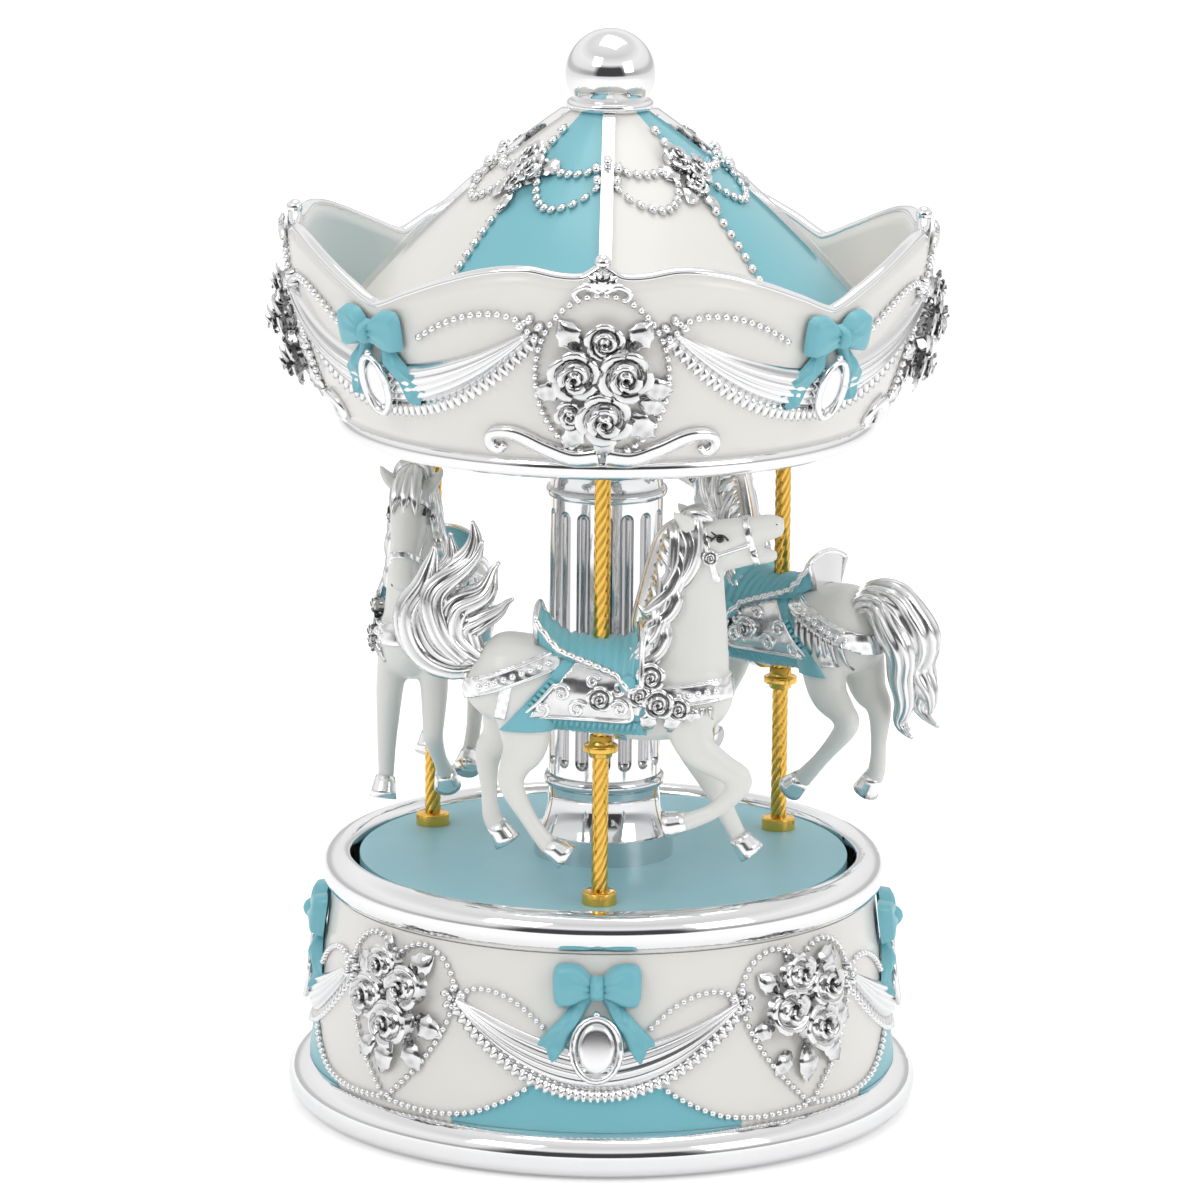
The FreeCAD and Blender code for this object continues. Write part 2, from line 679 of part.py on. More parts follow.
turned("drive_hub", [
    (0, barrel_top),
    (S.barrel_radius, barrel_top),
    (S.barrel_radius, cover_top),
    (S.hub_radius, cover_top),
    (S.hub_radius, platform_under),
    (S.hub_bore, platform_under),
    (S.hub_bore, cover_top),
    (0, cover_top),
])

# Winding key and arbor
key_top = S.key_floor_gap + S.key_height
wing_radius = S.key_height * 0.4
wing_level = S.key_floor_gap + wing_radius
arbor_foot = S.key_floor_gap + S.key_height * 0.3
wings = []
for name, side in (("left", -1), ("right", 1)):
    wing = doc.addObject("Part::Cylinder", name + "_wing")
    wing.Placement = FreeCAD.Placement(V(), FreeCAD.Rotation(V(1, 0, 0), 90))
    wing.setExpression("Radius", wing_radius.text)
    wing.setExpression("Height", S.key_thick.text)
    wings.append(placed(wing, (S.key_span / 2 - wing_radius) * side, S.key_thick / 2, wing_level))
web_reach = S.key_span / 2 - wing_radius
key_body = fuse("key_body", wings + [
    box("key_web", (-web_reach, web_reach), (-S.key_thick / 2, S.key_thick / 2),
        (wing_level - wing_radius / 2, wing_level + wing_radius / 2)),
    cylinder("key_hub", S.key_hub_radius, 0, 0, S.key_floor_gap, key_top),
])
key_bore = cylinder("key_bore", S.arbor_radius, 0, 0, arbor_foot, key_top + 1)
keep(cut("winding_key", key_body, [key_bore]), "winding_key")
arbor = cylinder("winding_arbor", S.arbor_radius, 0, 0, arbor_foot, barrel_top - S.spring_gap)
keep(arbor, "winding_arbor")


def gear_wire(teeth, pitch_radius, share, above, below, turn):
    """Straight-flanked spur outline in the YZ plane, a tooth at the turn angle from +Y."""
    step = 2 * math.pi / teeth
    half = math.pi * pitch_radius / teeth * share
    levels = (
        (pitch_radius - below, half + below * FLANK),
        (pitch_radius + above, half - above * FLANK),
    )
    corners = []
    for i in range(teeth):
        for way, order in ((-1, levels), (1, levels[::-1])):
            for radius, width in order:
                angle = turn + i * step + way * width / radius
                corners.append(V(0, radius * math.cos(angle), radius * math.sin(angle)))
    return Part.makePolygon(corners + corners[:1])


def spur_wheel(teeth, pitch_radius, start, end, turn):
    wire = gear_wire(teeth, pitch_radius.value, S.tooth_share.value, S.tooth_above.value,
                     tooth_below.value, turn)
    wheel = Part.Face(wire).extrude(V((end - start).value, 0, 0))
    wheel.translate(V(start.value, 0, cylinder_level.value))
    bore = Part.makeCylinder(S.cylinder_shaft.value, end.value - start.value + 2,
                             V(start.value - 1, 0, cylinder_level.value), V(1, 0, 0))
    return wheel.cut(bore)


def pinned_cylinder():
    """Cylinder with its shaft and a few rows of tune pins under each comb tooth."""
    level = cylinder_level.value
    along = V(1, 0, 0)
    body = Part.makeCylinder(S.cylinder_radius.value, S.cylinder_length.value,
                             V(cylinder_start.value, 0, level), along)
    shaft = Part.makeCylinder(S.cylinder_shaft.value, (wheel_end - tooth_inner).value,
                              V(tooth_inner.value, 0, level), along)
    pins = []
    for i in range(COMB_TEETH):
        x = cylinder_start.value + comb_pitch.value * (i + 0.5)
        for j in range(3):
            angle = math.radians(20 + (i * 77 + j * 131) % 320)
            out = V(0, math.cos(angle), math.sin(angle))
            foot = V(x, 0, level) + out * (S.cylinder_radius.value - 0.5)
            pins.append(Part.makeCylinder(S.pin_radius.value, S.pin_rise.value + 0.5, foot, out))
    return body.fuse([shaft] + pins)


shaped("pin_cylinder", pinned_cylinder())
half_step = math.pi / PINION_TEETH
shaped("cylinder_pinion", spur_wheel(PINION_TEETH, pinion_pitch_radius, tooth_inner, tooth_outer,
                                     half_step - math.pi / 2))
shaped("governor_wheel", spur_wheel(WHEEL_TEETH, S.wheel_pitch_radius, wheel_start, wheel_end,
                                    math.pi))

# Governor: worm with its fan, and the bracket over it
worm_foot = cylinder_level - worm_pitch * 1.75
worm_top = cylinder_level + worm_pitch * 2.6
arm_under = worm_top + S.arm_gap
arm_top = arm_under + S.arm_thick
fan_under = arm_top + S.arm_gap
fan_top = platform_under - S.deck_clear


def governor_screw():
    """Single-start worm on its shaft, with the two-bladed fan on top."""
    pitch = worm_pitch.value
    core = S.worm_pitch_radius.value - tooth_below.value
    tip = S.worm_pitch_radius.value + S.tooth_above.value
    half = pitch * S.tooth_share.value / 2
    foot_half = half + (tooth_below.value + 0.1) * FLANK
    tip_half = half - S.tooth_above.value * FLANK
    helix = Part.Wire(Part.makeHelix(pitch, 4 * pitch, S.worm_pitch_radius.value))
    thread = helix.makePipeShell([Part.makePolygon([
        V(core - 0.1, 0, -foot_half), V(tip, 0, -tip_half), V(tip, 0, tip_half),
        V(core - 0.1, 0, foot_half), V(core - 0.1, 0, -foot_half),
    ])], True, True)
    thread.translate(V(0, 0, worm_foot.value))
    low = (bed_top - S.pivot_depth).value
    shaft = Part.makeCylinder(S.worm_shaft.value, fan_top.value - low, V(0, 0, low))
    body = Part.makeCylinder(core, (worm_top - worm_foot).value + pitch * 0.6,
                             V(0, 0, worm_foot.value - pitch * 0.6))
    reach_out = S.fan_reach.value
    blade = S.fan_blade.value
    height = (fan_top - fan_under).value
    fan = Part.makeBox(2 * reach_out, blade, height, V(-reach_out, -blade / 2, fan_under.value))
    hub = Part.makeCylinder(S.worm_shaft.value * 2, height, V(0, 0, fan_under.value))
    return shaft.fuse([body, thread, fan, hub])


shaped("governor_worm", governor_screw(), at(wheel_middle.value, -worm_offset.value, 0))
post_start = bracket_out - S.bracket_gap - S.bracket_thick * 2
arm_side = S.worm_shaft * 3
bracket_body = fuse("governor_bracket_body", [
    box("governor_post", (post_start, post_start + S.bracket_thick * 1.8),
        (-worm_offset - arm_side - S.bracket_thick, -worm_offset - S.worm_shaft),
        (bed_top, arm_top)),
    box("governor_arm", (post_start, wheel_middle + arm_side),
        (-worm_offset - arm_side, -worm_offset + arm_side), (arm_under, arm_top)),
])
arm_hole = cylinder("arm_hole", S.worm_shaft + S.fit, wheel_middle, -worm_offset,
                    arm_under - 1, arm_top + 1)
keep(cut("governor_bracket", bracket_body, [arm_hole]), "governor_bracket")

# Platform, tie rod and column
pole_places = []
for turn in POLE_TURNS:
    angle = math.radians(turn)
    pole_places.append((pole_circle * math.sin(angle), -pole_circle * math.cos(angle)))

turned("platform", [
    (rod_bore, platform_under),
    (platform_radius, platform_under),
    (platform_radius, platform_top),
    (rod_bore, platform_top),
], [
    cylinder(f"platform_hole_{i}", S.pole_radius, x, y, platform_under - 1, platform_top + 1)
    for i, (x, y) in enumerate(pole_places, start=1)
])
rod_foot = platform_under - S.nut_height - S.rod_radius / 2
keep(cylinder("tie_rod", S.rod_radius, 0, 0, rod_foot, finial_seat + S.rod_grip), "tie_rod")
nut = doc.addObject("Part::Prism", "tie_nut_blank")
nut.Polygon = 6
nut.setExpression("Circumradius", S.nut_radius.text)
nut.setExpression("Height", S.nut_height.text)
placed(nut, 0, 0, platform_under - S.nut_height)
nut_bore = cylinder("nut_bore", S.rod_radius, 0, 0, rod_foot - 1, platform_under + 1)
keep(cut("tie_nut", nut, [nut_bore]), "tie_nut")

plinth_top = platform_top + S.plinth_height
bell_top = plinth_top + S.bell_height
bead_top = bell_top + S.bead_height
bell_foot = S.plinth_radius - S.bell_step
bell_arc = bow_radius(reach(bell_foot - S.shaft_radius, S.bell_height), S.bell_hollow)
turned("column_base", [
    (rod_bore, platform_top),
    (S.plinth_radius, platform_top),
    (S.plinth_radius, plinth_top),
    (bell_foot, plinth_top, -bell_arc),
    (S.shaft_radius, bell_top, bow_radius(S.bead_height, S.bead_radius - S.shaft_radius)),
    (S.shaft_radius, bead_top),
    (rod_bore, bead_top),
])

capital_under = canopy_under - S.capital_height
shaft = lathe("column_shaft", [
    (rod_bore, bead_top),
    (S.shaft_radius, bead_top),
    (S.shaft_radius, capital_under),
    (rod_bore, capital_under),
])
flute_low = bead_top + S.flute_end
flute_high = capital_under - S.flute_end
flute_floor = S.shaft_radius - S.flute_radius
flute_sketch = plane_sketch(shaft, "flute_outline", "XZ_Plane")
outline(flute_sketch, [
    (S.shaft_radius, flute_low),
    (S.shaft_radius, flute_high, S.flute_radius),
    (flute_floor, flute_high - S.flute_radius),
    (flute_floor, flute_low + S.flute_radius, S.flute_radius),
])
flute_axis = flute_sketch.addGeometry(Part.LineSegment(
    V(S.shaft_radius.value, flute_low.value, 0), V(S.shaft_radius.value, flute_high.value, 0)), True)
flute_sketch.addConstraint(Sketcher.Constraint("Coincident", 0, 1, flute_axis, 1))
flute_sketch.addConstraint(Sketcher.Constraint("Coincident", 0, 2, flute_axis, 2))
flute = shaft.newObject("PartDesign::Groove", "flute")
flute.Profile = flute_sketch
flute.ReferenceAxis = (flute_sketch, ["Axis0"])
flute.Angle = 360
shaft.Tip = flute
around(shaft, flute, FLUTES)
keep(shaft, "column_shaft")

necking = capital_under + S.capital_height * 0.16
flare_top = capital_under + S.capital_height * 0.5
flare = reach(S.capital_radius - S.shaft_radius, flare_top - necking)
turned("column_capital", [
    (rod_bore, capital_under),
    (S.shaft_radius, capital_under,
     bow_radius(necking - capital_under, S.bead_radius - S.shaft_radius)),
    (S.shaft_radius, necking, -bow_radius(flare, flare * 0.16)),
    (S.capital_radius, flare_top),
    (S.capital_radius, canopy_under),
    (rod_bore, canopy_under),
])

# Poles from the platform to the canopy
for i, (x, y) in enumerate(pole_places, start=1):
    pole = cylinder(f"pole_{i}", S.pole_radius, x, y, platform_under, canopy_under + S.pole_socket)
    keep(pole, f"pole_{i}")

# Canopy floor, its ring, the crown with arched rim, the roof and the finial
turned("canopy_floor", [
    (rod_bore, canopy_under),
    (floor_radius, canopy_under),
    (floor_radius, floor_top),
    (rod_bore, floor_top),
], [
    cylinder(f"pole_socket_{i}", S.pole_radius, x, y, canopy_under - 1, canopy_under + S.pole_socket)
    for i, (x, y) in enumerate(pole_places, start=1)
])
rim_bulge = S.rim_width / 4
turned("canopy_ring", [
    (floor_radius, rim_under),
    (rim_radius - rim_bulge, rim_under, bow_radius(S.rim_height, rim_bulge)),
    (rim_radius - rim_bulge, rim_top),
    (floor_radius, rim_top),
])

crown = lathe("crown", [
    (crown_foot_radius, rim_top, crown_arc),
    (crown_tip_radius, crown_top),
    (crown_tip_radius - S.crown_wall, crown_top, -crown_arc),
    (crown_foot_radius - S.crown_wall, rim_top),
])
notch_x = crown_tip_radius * math.sqrt(0.5)
shoulder_x = crown_tip_radius * 0.48
dip_x = crown_tip_radius * 0.087
notch_z = crown_top - S.crown_notch
dip_z = crown_top - S.crown_dip
side_arc = bow_radius(reach(notch_x - shoulder_x, dip_z - notch_z), S.crown_arch)
arch_arc = bow_radius(shoulder_x - dip_x, S.crown_dip - S.crown_arch)
tip_arc = bow_radius(reach(dip_x, S.crown_dip), S.crown_arch / 2)
rim_sketch = plane_sketch(crown, "rim_outline", "XZ_Plane")
outline(rim_sketch, [
    (-notch_x, notch_z, -side_arc),
    (-shoulder_x, dip_z, -arch_arc),
    (-dip_x, dip_z, tip_arc),
    (0, crown_top, tip_arc),
    (dip_x, dip_z, -arch_arc),
    (shoulder_x, dip_z, -side_arc),
    (notch_x, notch_z),
    (notch_x, crown_top + S.crown_arch),
    (-notch_x, crown_top + S.crown_arch),
])
rim_cut = crown.newObject("PartDesign::Pocket", "rim_arch")
rim_cut.Profile = rim_sketch
rim_cut.Type = "ThroughAll"
crown.Tip = rim_cut
around(crown, rim_cut, BAYS)
keep(crown, "crown")

roof_inner = S.roof_top_radius - S.roof_wall / 2
roof_eave = eave_radius - S.roof_wall
roof_inner_arc = bow_radius(reach(roof_eave - roof_inner, S.roof_rise - S.roof_wall), S.roof_bulge)
turned("roof", [
    (roof_eave, rim_top),
    (eave_radius, rim_top),
    (eave_radius, eave_level, roof_arc),
    (S.roof_top_radius, roof_top),
    (rod_bore, roof_top),
    (rod_bore, roof_top - S.roof_wall),
    (roof_inner, roof_top - S.roof_wall, -roof_inner_arc),
    (roof_eave, eave_level),
])
turned("finial_collar", [
    (rod_bore, roof_top),
    (S.finial_collar_radius, roof_top,
     bow_radius(S.finial_collar_height, S.finial_collar_height / 4)),
    (S.finial_collar_radius, finial_seat),
    (rod_bore, finial_seat),
])
ball_flat = root(S.ball_radius * S.ball_radius - S.ball_rise * S.ball_rise)
turned("finial_ball", [
    (S.rod_radius, finial_seat),
    (ball_flat, finial_seat, S.ball_radius),
    (0, ball_level + S.ball_radius),
    (0, finial_seat + S.rod_grip),
    (S.rod_radius, finial_seat + S.rod_grip),
])

# Horses: lofted limbs, drawn with x forward, y to the inner side, z above the collar
# Each station is x, y, z, half depth and half width
TORSO = (
    (-20.6, 0, 10.8, 2.2, 1.6), (-19.2, 0, 10.4, 5.2, 4.0), (-16, 0, 10, 7.2, 5.6),
    (-11.5, 0, 9.8, 7.4, 6.2), (-6, 0, 9.2, 7.1, 6), (0, 0, 8.4, 7.3, 6.2),
    (6, 0, 8.2, 7.6, 6.2), (11, 0, 8.8, 7.8, 6), (15.5, 0, 9.2, 7, 5.4),
    (18.8, 0, 9.4, 5, 4), (20.4, 0, 9.6, 2.4, 1.8),
)
RAISED_NECK = (
    (12, 0, 11.5, 8, 5.2), (12.6, 0, 15.5, 7.4, 4.6), (13.2, 0, 20, 6.4, 3.9),
    (13.8, 0, 25, 5.4, 3.3), (14, 0, 29, 4.7, 3), (14.2, 0, 32, 3.9, 2.6),
)
RAISED_HEAD = (
    (12.6, 0, 31.2, 2.4, 2), (15, 0, 31.3, 4, 2.8), (18.2, 0, 31.8, 4.3, 2.9),
    (21, 0, 33, 3.4, 2.4), (24, 0, 34.2, 2.9, 2.05), (26.4, 0, 34.6, 2.6, 1.9),
    (28, 0, 34.4, 1.7, 1.4),
)
RAISED_EAR = ((13.6, 1.5, 34.6, 1.1, 0.8), (11.8, 1.7, 35.4, 0.8, 0.6), (9.6, 1.8, 35.6, 0.2, 0.2))
RAISED_MANE = (
    (16, 0, 37.8, 0.6, 0.6), (13, 0, 36, 1.8, 1.6), (10.2, 0, 33, 2.4, 1.9),
    (8.6, 0, 28.5, 2.8, 2.1), (7.4, 0, 23.5, 2.8, 2.2), (6.6, 0, 19, 2.4, 2),
    (6.8, 0, 16.2, 1.2, 1.2),
)
TUCKED_NECK = (
    (12, 0, 11.5, 8, 5.2), (13, 0, 16, 7.2, 4.6), (14, 0, 21, 6.2, 3.9),
    (14.6, 0, 26, 5.2, 3.3), (14.4, 0, 30, 4.4, 3), (13.6, 0, 33, 3.4, 2.5),
)
TUCKED_HEAD = (
    (12.4, 0, 33.2, 2.2, 1.9), (14.8, 0, 31.8, 3.9, 2.8), (17.2, 0, 28.8, 4.1, 2.9),
    (18.9, 0, 25.2, 3.2, 2.4), (20.2, 0, 21.8, 2.7, 2.05), (21, 0, 19.4, 2.4, 1.9),
    (21.4, 0, 17.8, 1.6, 1.4),
)
TUCKED_EAR = ((13.0, 1.4, 34.2, 1.1, 0.8), (12.2, 1.6, 36, 0.8, 0.6), (11.4, 1.8, 37.8, 0.2, 0.2))
TUCKED_MANE = (
    (15, 0, 37, 0.6, 0.6), (12.4, 0, 36, 1.8, 1.6), (10.6, 0, 33.5, 2.4, 1.9),
    (9.6, 0, 29, 2.8, 2.1), (8.8, 0, 24, 2.8, 2.2), (7.4, 0, 19.5, 2.4, 2),
    (6.4, 0, 16.2, 1.2, 1.2),
)
HIND_FORWARD = (
    (-11.8, 3, 8, 5, 3), (-11.4, 3.6, 0.4, 3.8, 2.6), (-12.9, 3.9, -3, 2.6, 2),
    (-13.4, 4.1, -6.2, 2, 1.6), (-10.3, 4.3, -11.6, 1.4, 1.3), (-7.7, 4.4, -15.2, 1.5, 1.4),
    (-5.5, 4.4, -16.6, 1.8, 1.6),
)
HIND_BACK = (
    (-14, 3, 8, 5, 3), (-15.7, 3.6, 0.4, 3.4, 2.6), (-18, 3.9, -3, 2.2, 1.9),
    (-17.9, 4.1, -9, 1.4, 1.3), (-17.4, 4.3, -13.8, 1.5, 1.4), (-15.6, 4.4, -16.4, 1.8, 1.6),
)
HIND_PUSH = (
    (-11.8, 3, 8, 5, 3), (-13.5, 3.6, 0.6, 3.8, 2.6), (-17, 3.9, -2.6, 2.4, 2),
    (-18.4, 4.1, -4.6, 2, 1.7), (-14, 4.3, -10, 1.4, 1.3), (-9.5, 4.4, -14.6, 1.5, 1.4),
    (-7.4, 4.4, -16.2, 1.8, 1.6),
)
FORE_RAISED = (
    (13.5, 3, 7, 4.5, 2.6), (15.1, 3.8, 1, 3.1, 2.2), (19.4, 4.2, -2, 2.2, 1.8),
    (22.6, 4.3, -4.2, 1.9, 1.6), (18.5, 4.3, -8.8, 1.3, 1.2), (13.5, 4.3, -11.2, 1.4, 1.3),
    (11.5, 4.3, -11.3, 1.6, 1.5),
)
FORE_REACH = (
    (13, 3, 7, 4.5, 2.6), (13.8, 3.8, 0, 3, 2.2), (16.6, 4.2, -6, 2, 1.7),
    (18.5, 4.3, -9.6, 1.6, 1.5), (21.4, 4.4, -15.6, 1.4, 1.3), (22.9, 4.4, -17, 1.7, 1.5),
)
FORE_STRAIGHT = (
    (13.5, 3, 7, 4.5, 2.6), (13.8, 3.8, 0.5, 3, 2.2), (13.6, 4.2, -5.5, 2, 1.8),
    (13.4, 4.4, -8.5, 1.7, 1.6), (13.2, 4.6, -14.5, 1.4, 1.3), (14.2, 4.7, -16.8, 1.7, 1.6),
)
FORE_BENT = (
    (13.5, 3, 7, 4.5, 2.6), (15.2, 3.8, 0.8, 3, 2.2), (17.6, 4.3, -4, 2.1, 1.8),
    (18.2, 4.4, -6.6, 1.8, 1.6), (14, 4.5, -11.2, 1.3, 1.2), (10.6, 4.6, -14.2, 1.5, 1.4),
    (9.8, 4.6, -15.6, 1.6, 1.5),
)
RAISED_TAIL = (
    ((-19, 0, 12.6, 1.6, 1.6), (-23.5, 0, 12.2, 2.3, 2.2), (-28, 0, 15, 2.7, 2.4),
     (-29.6, 0, 20.5, 2.5, 2.2), (-27.6, 0, 26, 1.6, 1.5), (-25.6, 0, 30, 0.4, 0.4)),
    ((-18.6, 0, 12.8, 1.6, 1.6), (-23, 0, 15.6, 2.4, 2.2), (-24.8, 0, 20.8, 3, 2.4),
     (-22.4, 0, 27, 2.4, 2), (-19.2, 0, 34, 0.4, 0.4)),
    ((-18.6, 0, 13.4, 1.6, 1.6), (-21.2, 0, 17.2, 2.2, 2), (-20.2, 0, 21.6, 2.4, 2),
     (-16.6, 0, 25, 1.6, 1.5), (-13.6, 0, 27.8, 0.4, 0.4)),
)
HANGING_TAIL = (
    ((-16, 0, 10.6, 1.6, 1.6), (-20.5, 0, 12.6, 1.8, 1.7), (-24.4, 0, 11, 2.2, 2),
     (-26.6, 0, 6, 2.6, 2.2), (-26.9, 0, -0.5, 2.4, 2), (-25.8, 0, -6, 1.6, 1.4),
     (-26, 0, -10, 0.4, 0.4)),
    ((-16, 0, 9.4, 1.5, 1.5), (-20, 0, 10.2, 1.6, 1.6), (-22.8, 0, 6.6, 1.9, 1.8),
     (-23.4, 0, 0, 1.9, 1.7), (-21.8, 0, -6.5, 0.4, 0.4)),
)
SWEPT_TAIL = (
    ((-16, 0, 10.6, 1.6, 1.6), (-20.5, -0.8, 12.6, 1.8, 1.7), (-23.8, -2.6, 11, 2.2, 2),
     (-25.4, -4.4, 6, 2.6, 2.2), (-25.8, -5.6, -0.5, 2.4, 2), (-25.2, -6.2, -6, 1.6, 1.4),
     (-25.2, -6.4, -9.5, 0.4, 0.4)),
    ((-16, 0, 9.4, 1.5, 1.5), (-20, -0.6, 10.2, 1.6, 1.6), (-22.2, -2.4, 6.6, 1.9, 1.8),
     (-22.8, -3.8, 0, 1.9, 1.7), (-21.6, -4.8, -6.5, 0.4, 0.4)),
)
LEFT = 1
RIGHT = -1
HORSES = (
    {"turn": 0, "yaw": -5, "neck": RAISED_NECK, "head": RAISED_HEAD, "ear": RAISED_EAR,
     "mane": RAISED_MANE, "tail": RAISED_TAIL,
     "legs": ((HIND_FORWARD, RIGHT), (HIND_BACK, LEFT), (FORE_RAISED, RIGHT), (FORE_REACH, LEFT))},
    {"turn": -120, "yaw": 19, "neck": TUCKED_NECK, "head": TUCKED_HEAD, "ear": TUCKED_EAR,
     "mane": TUCKED_MANE, "tail": HANGING_TAIL,
     "legs": ((HIND_FORWARD, LEFT), (HIND_BACK, RIGHT), (FORE_STRAIGHT, RIGHT), (FORE_BENT, LEFT))},
    {"turn": 120, "yaw": 17, "neck": RAISED_NECK, "head": RAISED_HEAD, "ear": RAISED_EAR,
     "mane": RAISED_MANE, "tail": SWEPT_TAIL,
     "legs": ((HIND_PUSH, LEFT), (HIND_BACK, RIGHT), (FORE_RAISED, LEFT), (FORE_REACH, RIGHT))},
)
SECTION_POINTS = 8


def limb(stations, side=1, grow=0.0):
    """Smooth loft through oval sections set square to the path of the stations."""
    scale = horse_scale.value
    path = [V(s[0], s[1] * side, s[2]) * scale for s in stations]
    rings = []
    for i, station in enumerate(stations):
        along = (path[min(i + 1, len(path) - 1)] - path[max(i - 1, 0)]).normalize()
        deep = V(0, 1, 0).cross(along).normalize()
        wide = along.cross(deep)
        deep = deep * (station[3] * scale + grow)
        wide = wide * (station[4] * scale + grow)
        ring = []
        for k in range(SECTION_POINTS):
            angle = 2 * math.pi * k / SECTION_POINTS
            ring.append(path[i] + deep * math.cos(angle) + wide * math.sin(angle))
        curve = Part.BSplineCurve()
        curve.interpolate(Points=ring, PeriodicFlag=True)
        rings.append(Part.Wire([curve.toShape()]))
    return Part.makeLoft(rings, True, False)


def main_solid(shape):
    """The largest solid of a cut shape, without its loose slivers."""
    return max(shape.Solids, key=lambda solid: solid.Volume)


collars = []
for number, horse in enumerate(HORSES, start=1):
    scale = horse_scale.value
    angle = math.radians(horse["turn"])
    radius = pole_circle.value
    place = at(radius * math.sin(angle), -radius * math.cos(angle), collar_top.value,
               horse["turn"] + horse["yaw"])
    pole_core = Part.makeCylinder(S.pole_radius.value, 80 * scale, V(0, 0, -40 * scale))
    limbs = [limb(horse["neck"]), limb(horse["head"])]
    limbs += [limb(leg, side) for leg, side in horse["legs"]]
    limbs += [limb(horse["ear"], LEFT), limb(horse["ear"], RIGHT)]
    animal = main_solid(limb(TORSO).fuse(limbs).cut(pole_core))
    seat_room = Part.makeBox(17 * scale, 40 * scale, 30 * scale, V(-9, -20, 1.5) * scale)
    seat = limb(TORSO, 1, S.saddle_thick.value).common(seat_room)
    seat = main_solid(seat.cut(animal).cut(pole_core))
    hair = main_solid(limb(horse["mane"]).cut(animal).cut(seat))
    locks = [limb(lock) for lock in horse["tail"]]
    brush = main_solid(locks[0].fuse(locks[1:]).cut(animal))
    stop_height = S.collar_height.value + 1.4 * scale
    stop = Part.makeCylinder(S.collar_radius.value, stop_height, V(0, 0, -S.collar_height.value))
    foot_level = platform_top.value - collar_top.value
    foot = Part.makeCylinder(S.collar_radius.value, S.collar_height.value, V(0, 0, foot_level))
    for collar in (main_solid(stop.cut(animal).cut(pole_core)), foot.cut(pole_core)):
        collar.Placement = place
        collars.append(collar)
    shaped(f"horse_{number}", animal, place)
    shaped(f"saddle_{number}", seat, place)
    shaped(f"mane_{number}", hair, place)
    shaped(f"tail_{number}", brush, place)
shaped("pole_collars", Part.makeCompound(collars))


# Ornaments: flat outlines carried onto the walls as a thin relief, four times around
def spin_up(edge, shift):
    """Layer between a wall's profile edge and the same edge shifted outward."""
    first, last = edge.Vertexes[0].Point, edge.Vertexes[-1].Point
    sides = [edge, edge.translated(shift), Part.makeLine(first, first + shift)]
    sides.append(Part.makeLine(last, last + shift))
    return Part.Face(Part.Wire(Part.__sortEdges__(sides))).revolve(V(), V(0, 0, 1), 360)


def wall_arc(start, end, radius):
    """Arc of a wall's profile in the XZ plane, from bottom to top."""
    low = V(start[0].value, start[1].value, 0)
    high = V(end[0].value, end[1].value, 0)
    middle = arc_middle(low, high, radius.value)
    return Part.Arc(*[V(p.x, 0, p.y) for p in (low, middle, high)]).toShape()


def blade(points):
    """Straight-sided outline in the XZ plane, run out toward the front."""
    corners = [V(x, 0, z) for x, z in points]
    return Part.Face(Part.makePolygon(corners + corners[:1])).extrude(V(0, -100, 0))


def leaf(points):
    """Round outline in the XZ plane, run out toward the front."""
    curve = Part.BSplineCurve()
    curve.interpolate(Points=[V(x, 0, z) for x, z in points], PeriodicFlag=True)
    return Part.Face(Part.Wire([curve.toShape()])).extrude(V(0, -100, 0))


def oval(level, half, height):
    """Upright oval centred on the front."""
    points = []
    for k in range(12):
        angle = 2 * math.pi * k / 12
        points.append((half * math.cos(angle), level + height / 2 * math.sin(angle)))
    return leaf(points)


def bow(level, half):
    """Ribbon bow with two loops, two tails and a knot."""
    k = half / 7.1
    loop = [(-0.4, 0), (3.2, 2.7), (6.4, 2.4), (7.1, -0.3), (5.2, -2.6), (2.4, -1.7)]
    tail = [(-0.3, -0.6), (1.0, 0.2), (3.8, -4.4), (5.2, -8.5), (6.2, -13.2), (4.2, -13.6)]
    tail += [(3.8, -9), (2.4, -5.2)]
    solids = [oval(level, 1.4 * k, 3.2 * k)]
    for side in (1, -1):
        solids.append(leaf([(x * side * k, level + z * k) for x, z in loop]))
        solids.append(blade([(x * side * k, level + z * k) for x, z in tail]))
    return solids[0].fuse(solids[1:])


def drape(low, high, half, depth):
    """Hanging crescent of cloth."""
    edges = [
        Part.Arc(V(-half, 0, high), V(0, 0, low), V(half, 0, high)).toShape(),
        Part.makeLine(V(half, 0, high), V(half * 0.97, 0, high + depth * 0.3)),
        Part.Arc(V(half * 0.97, 0, high + depth * 0.3), V(0, 0, low + depth),
                 V(-half * 0.97, 0, high + depth * 0.3)).toShape(),
        Part.makeLine(V(-half * 0.97, 0, high + depth * 0.3), V(-half, 0, high)),
    ]
    return Part.Face(Part.Wire(edges)).extrude(V(0, -100, 0))


def heart(top, half, height):
    """Heart with its point down."""
    shape = [(0, -0.16), (0.24, -0.03), (0.62, 0), (0.92, -0.14), (1, -0.36), (0.84, -0.6)]
    shape += [(0.5, -0.82), (0, -1)]
    right = [(x * half, top + z * height) for x, z in shape]
    left = [(-x, z) for x, z in right[-2:0:-1]]
    return blade(right + left)


def turned_copy(shape, angle):
    copy = shape.copy()
    copy.rotate(V(), V(0, 0, 1), angle)
    return copy


def repeat(shape, turn=0):
    """The shape at the front and at each quarter from it."""
    return Part.makeCompound([turned_copy(shape, turn + 360 * i / BAYS) for i in range(BAYS)])


def bosses(places, radius_at):
    """Round roses standing on a wall at the given places."""
    balls = []
    for x, z in places:
        depth = math.sqrt(radius_at(z) ** 2 - x * x)
        balls.append(Part.makeSphere(S.rose_radius.value, V(x, -depth, z), V(1, 0, 0)))
    return balls[0].fuse(balls[1:])


